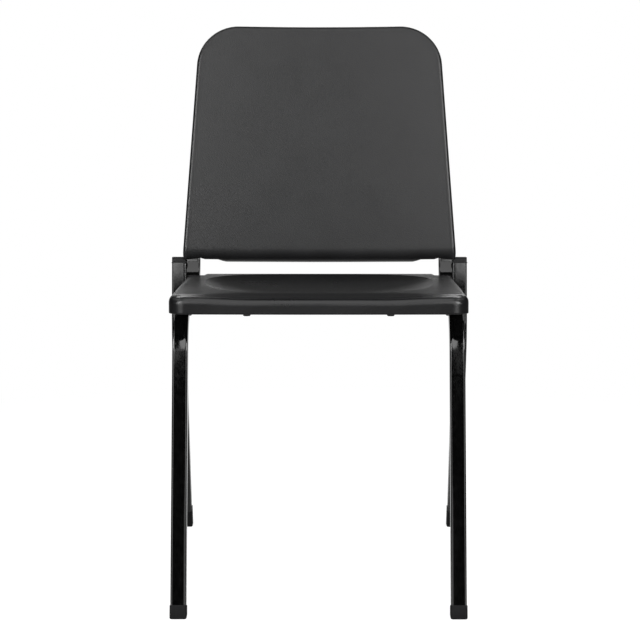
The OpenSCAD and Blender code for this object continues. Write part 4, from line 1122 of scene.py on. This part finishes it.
def buildFloor():
    mesh = bpy.data.meshes.new("studioFloor")
    s = paper["size"] / 2
    mesh.from_pydata([(-s, -s, 0), (s, -s, 0), (s, s, 0), (-s, s, 0)], [], [(0, 1, 2, 3)])
    # Pale seamless paper: it takes the chair's shadow and fades into the white of the room.
    material, tree, coords = newMaterial("paleStudioPaper")
    paths = addNode(tree, "ShaderNodeLightPath").outputs
    seen = addNode(tree, mathNode, larger, [paths["Is Camera Ray"], paths["Is Glossy Ray"]])
    seen = addNode(tree, mathNode, larger, [seen, paths["Is Transmission Ray"]])
    distance = addNode(tree, vectorNode, {"operation": "LENGTH"}, [coords]).outputs["Value"]
    far = addNode(tree, rangeNode, {}, [distance, paper["fadeFrom"], paper["fadeTo"], 0.0, 1.0])
    place = addNode(tree, "ShaderNodeSeparateXYZ", {}, [coords]).outputs
    aside = addNode(tree, mathNode, {"operation": "ABSOLUTE"}, [place["X"]])
    aside = addNode(tree, mathNode, multiply, [aside, paper["flare"]])
    behind = addNode(tree, mathNode, subtract, [place["Y"], aside])
    dim = [behind, paper["behindFrom"], paper["behindTo"], paper["leastLevel"], paper["mostLevel"]]
    dim = addNode(tree, mathNode, subtract, [1.0, addNode(tree, rangeNode, {}, dim)])
    dim = addNode(tree, mathNode, multiply, [dim, paths["Is Glossy Ray"]])
    level = addNode(tree, mathNode, subtract, [1.0, dim])
    glow = addNode(tree, mathNode, multiply, [level, paper["glow"]])
    glow = addNode(tree, "ShaderNodeEmission", {}, {"Color": (1, 1, 1, 1), "Strength": glow})
    plain = addNode(tree, "ShaderNodeBsdfDiffuse", {}, {"Color": linear(paper["colour"])})
    bounce = addNode(tree, "ShaderNodeBsdfDiffuse", {}, {"Color": linear(paper["bounce"])})
    nothing = addNode(tree, "ShaderNodeEmission", {}, {"Color": (0, 0, 0, 1), "Strength": 0.0})
    faint = addNode(tree, "ShaderNodeMixShader", {}, [paper["shadowShare"], nothing, plain])
    near = addNode(tree, "ShaderNodeAddShader", {}, [faint, glow])
    white = addNode(tree, "ShaderNodeEmission", {}, {"Color": (1, 1, 1, 1), "Strength": level})
    shown = addNode(tree, "ShaderNodeMixShader", {}, [far, near, white])
    mixed = addNode(tree, "ShaderNodeMixShader", {}, [seen, bounce, shown])
    addNode(tree, "ShaderNodeOutputMaterial", {}, {"Surface": mixed})
    mesh.materials.append(material)
    newObject("studioFloor", mesh)


def buildRoom():
    world = bpy.data.worlds.new("studioRoom")
    world.use_nodes = True
    bpy.context.scene.world = world
    tree = world.node_tree
    tree.nodes.clear()
    paths = addNode(tree, "ShaderNodeLightPath").outputs
    seen = addNode(tree, mathNode, larger, [paths["Is Camera Ray"], paths["Is Transmission Ray"]])
    direction = addNode(tree, "ShaderNodeTexCoord").outputs["Generated"]
    direction = addNode(tree, "ShaderNodeSeparateXYZ", {}, [direction]).outputs
    # A white card stands low behind the chair, with dark flags round the rest, as the legs' gloss shows.
    card = [direction["Y"], room["cardFrom"], room["cardTo"], room["flags"], 1.0]
    low = [direction["Z"], room["lowTo"], room["highFrom"], 1.0, room["highShare"]]
    card = addNode(tree, mathNode, multiply, [addNode(tree, rangeNode, {}, r) for r in (card, low)])
    glossy = addNode(tree, mathNode, multiply, [card, paths["Is Glossy Ray"]])
    unseen = addNode(tree, mathNode, larger, [seen, paths["Is Glossy Ray"]])
    unseen = addNode(tree, mathNode, subtract, [1.0, unseen])
    soft = addNode(tree, mathNode, multiply, [unseen, room["soft"]])
    shown = addNode(tree, mathNode, larger, [seen, glossy])
    strength = addNode(tree, mathNode, add, [shown, soft])
    background = addNode(tree, "ShaderNodeBackground", {}, {"Color": (1, 1, 1, 1), "Strength": strength})
    addNode(tree, "ShaderNodeOutputWorld", {}, {"Surface": background})


def softBox(name, place, aim, size, level):  # level is the brightness of its face, where 1 is white
    light = bpy.data.lights.new(name, "AREA")
    light.shape = "RECTANGLE"
    light.size, light.size_y = size
    light.energy = level * math.pi * size[0] * size[1]
    lamp = newObject(name, light)
    lamp.location = place
    lamp.rotation_euler = (Vector(aim) - Vector(place)).to_track_quat("-Z", "Y").to_euler()
    lamp.visible_camera = False


# Each lamp: its place, the point that it faces, its width and height, all in metres, and its level. The
# paired ones stand on both sides.
panels = dict(
    frontPanel=((0, -1.6, 1.2), (0, -1.0, 1.1), (0.34, 0.44), 1.0),
    lowPanel=((0, -1.6, 0.42), (0, 0, 0.42), (0.44, 0.36), 0.8),
    topPanel=((0, -0.72, 1.95), (0, -0.68, 0.5), (1.3, 1.66), 1.65),
    rearPanel=((0, 1.6, 1.4), (0, 0, 0.5), (2.0, 0.6), 3.0))
pairedPanels = dict(
    front=((0.57, -1.6, 1.41), (0.4, 0.0, 0.95), (0.52, 0.9), 3.3),
    corner=((1.24, -1.3, 1.65), (0.2, -0.2, 0.45), (0.6, 0.9), 4.5),
    edge=((1.42, -1.12, 1.16), (0.2, 0.2, 0.62), (0.4, 0.5), 17.0),
    high=((1.14, 0.06, 1.9), (0.2, -0.2, 0.45), (0.5, 0.5), 3.5),
    strip=((1.3, -1.75, 0.72), (0, 0, 0.6), (0.9, 1.0), 2.8))
buildFloor()
buildRoom()
for name, panel in panels.items():
    softBox(name, *panel)
for side, sideName in ((-1, "Left"), (1, "Right")):
    for name, (place, aim, size, level) in pairedPanels.items():
        softBox(name + sideName, (side * place[0], *place[1:]), (side * aim[0], *aim[1:]), size, level)

# The camera, in millimetres and degrees, with its focal length in pixels of the photograph
view = dict(height=917, distance=3136, pitch=8.86, across=10, turn=0.145, focal=2295, pixels=640, sensor=36)
lens = bpy.data.cameras.new("photoCamera")
lens.sensor_width = view["sensor"]
lens.lens = view["focal"] / view["pixels"] * view["sensor"]
camera = newObject("photoCamera", lens)
camera.location = (view["across"] * 0.001, -(view["distance"] + setback) * 0.001, view["height"] * 0.001)
camera.rotation_euler = (rad(90 - view["pitch"]), 0, rad(view["turn"]))
bpy.context.scene.camera = camera
bpy.context.scene.view_settings.view_transform = "Standard"
print("stage set")
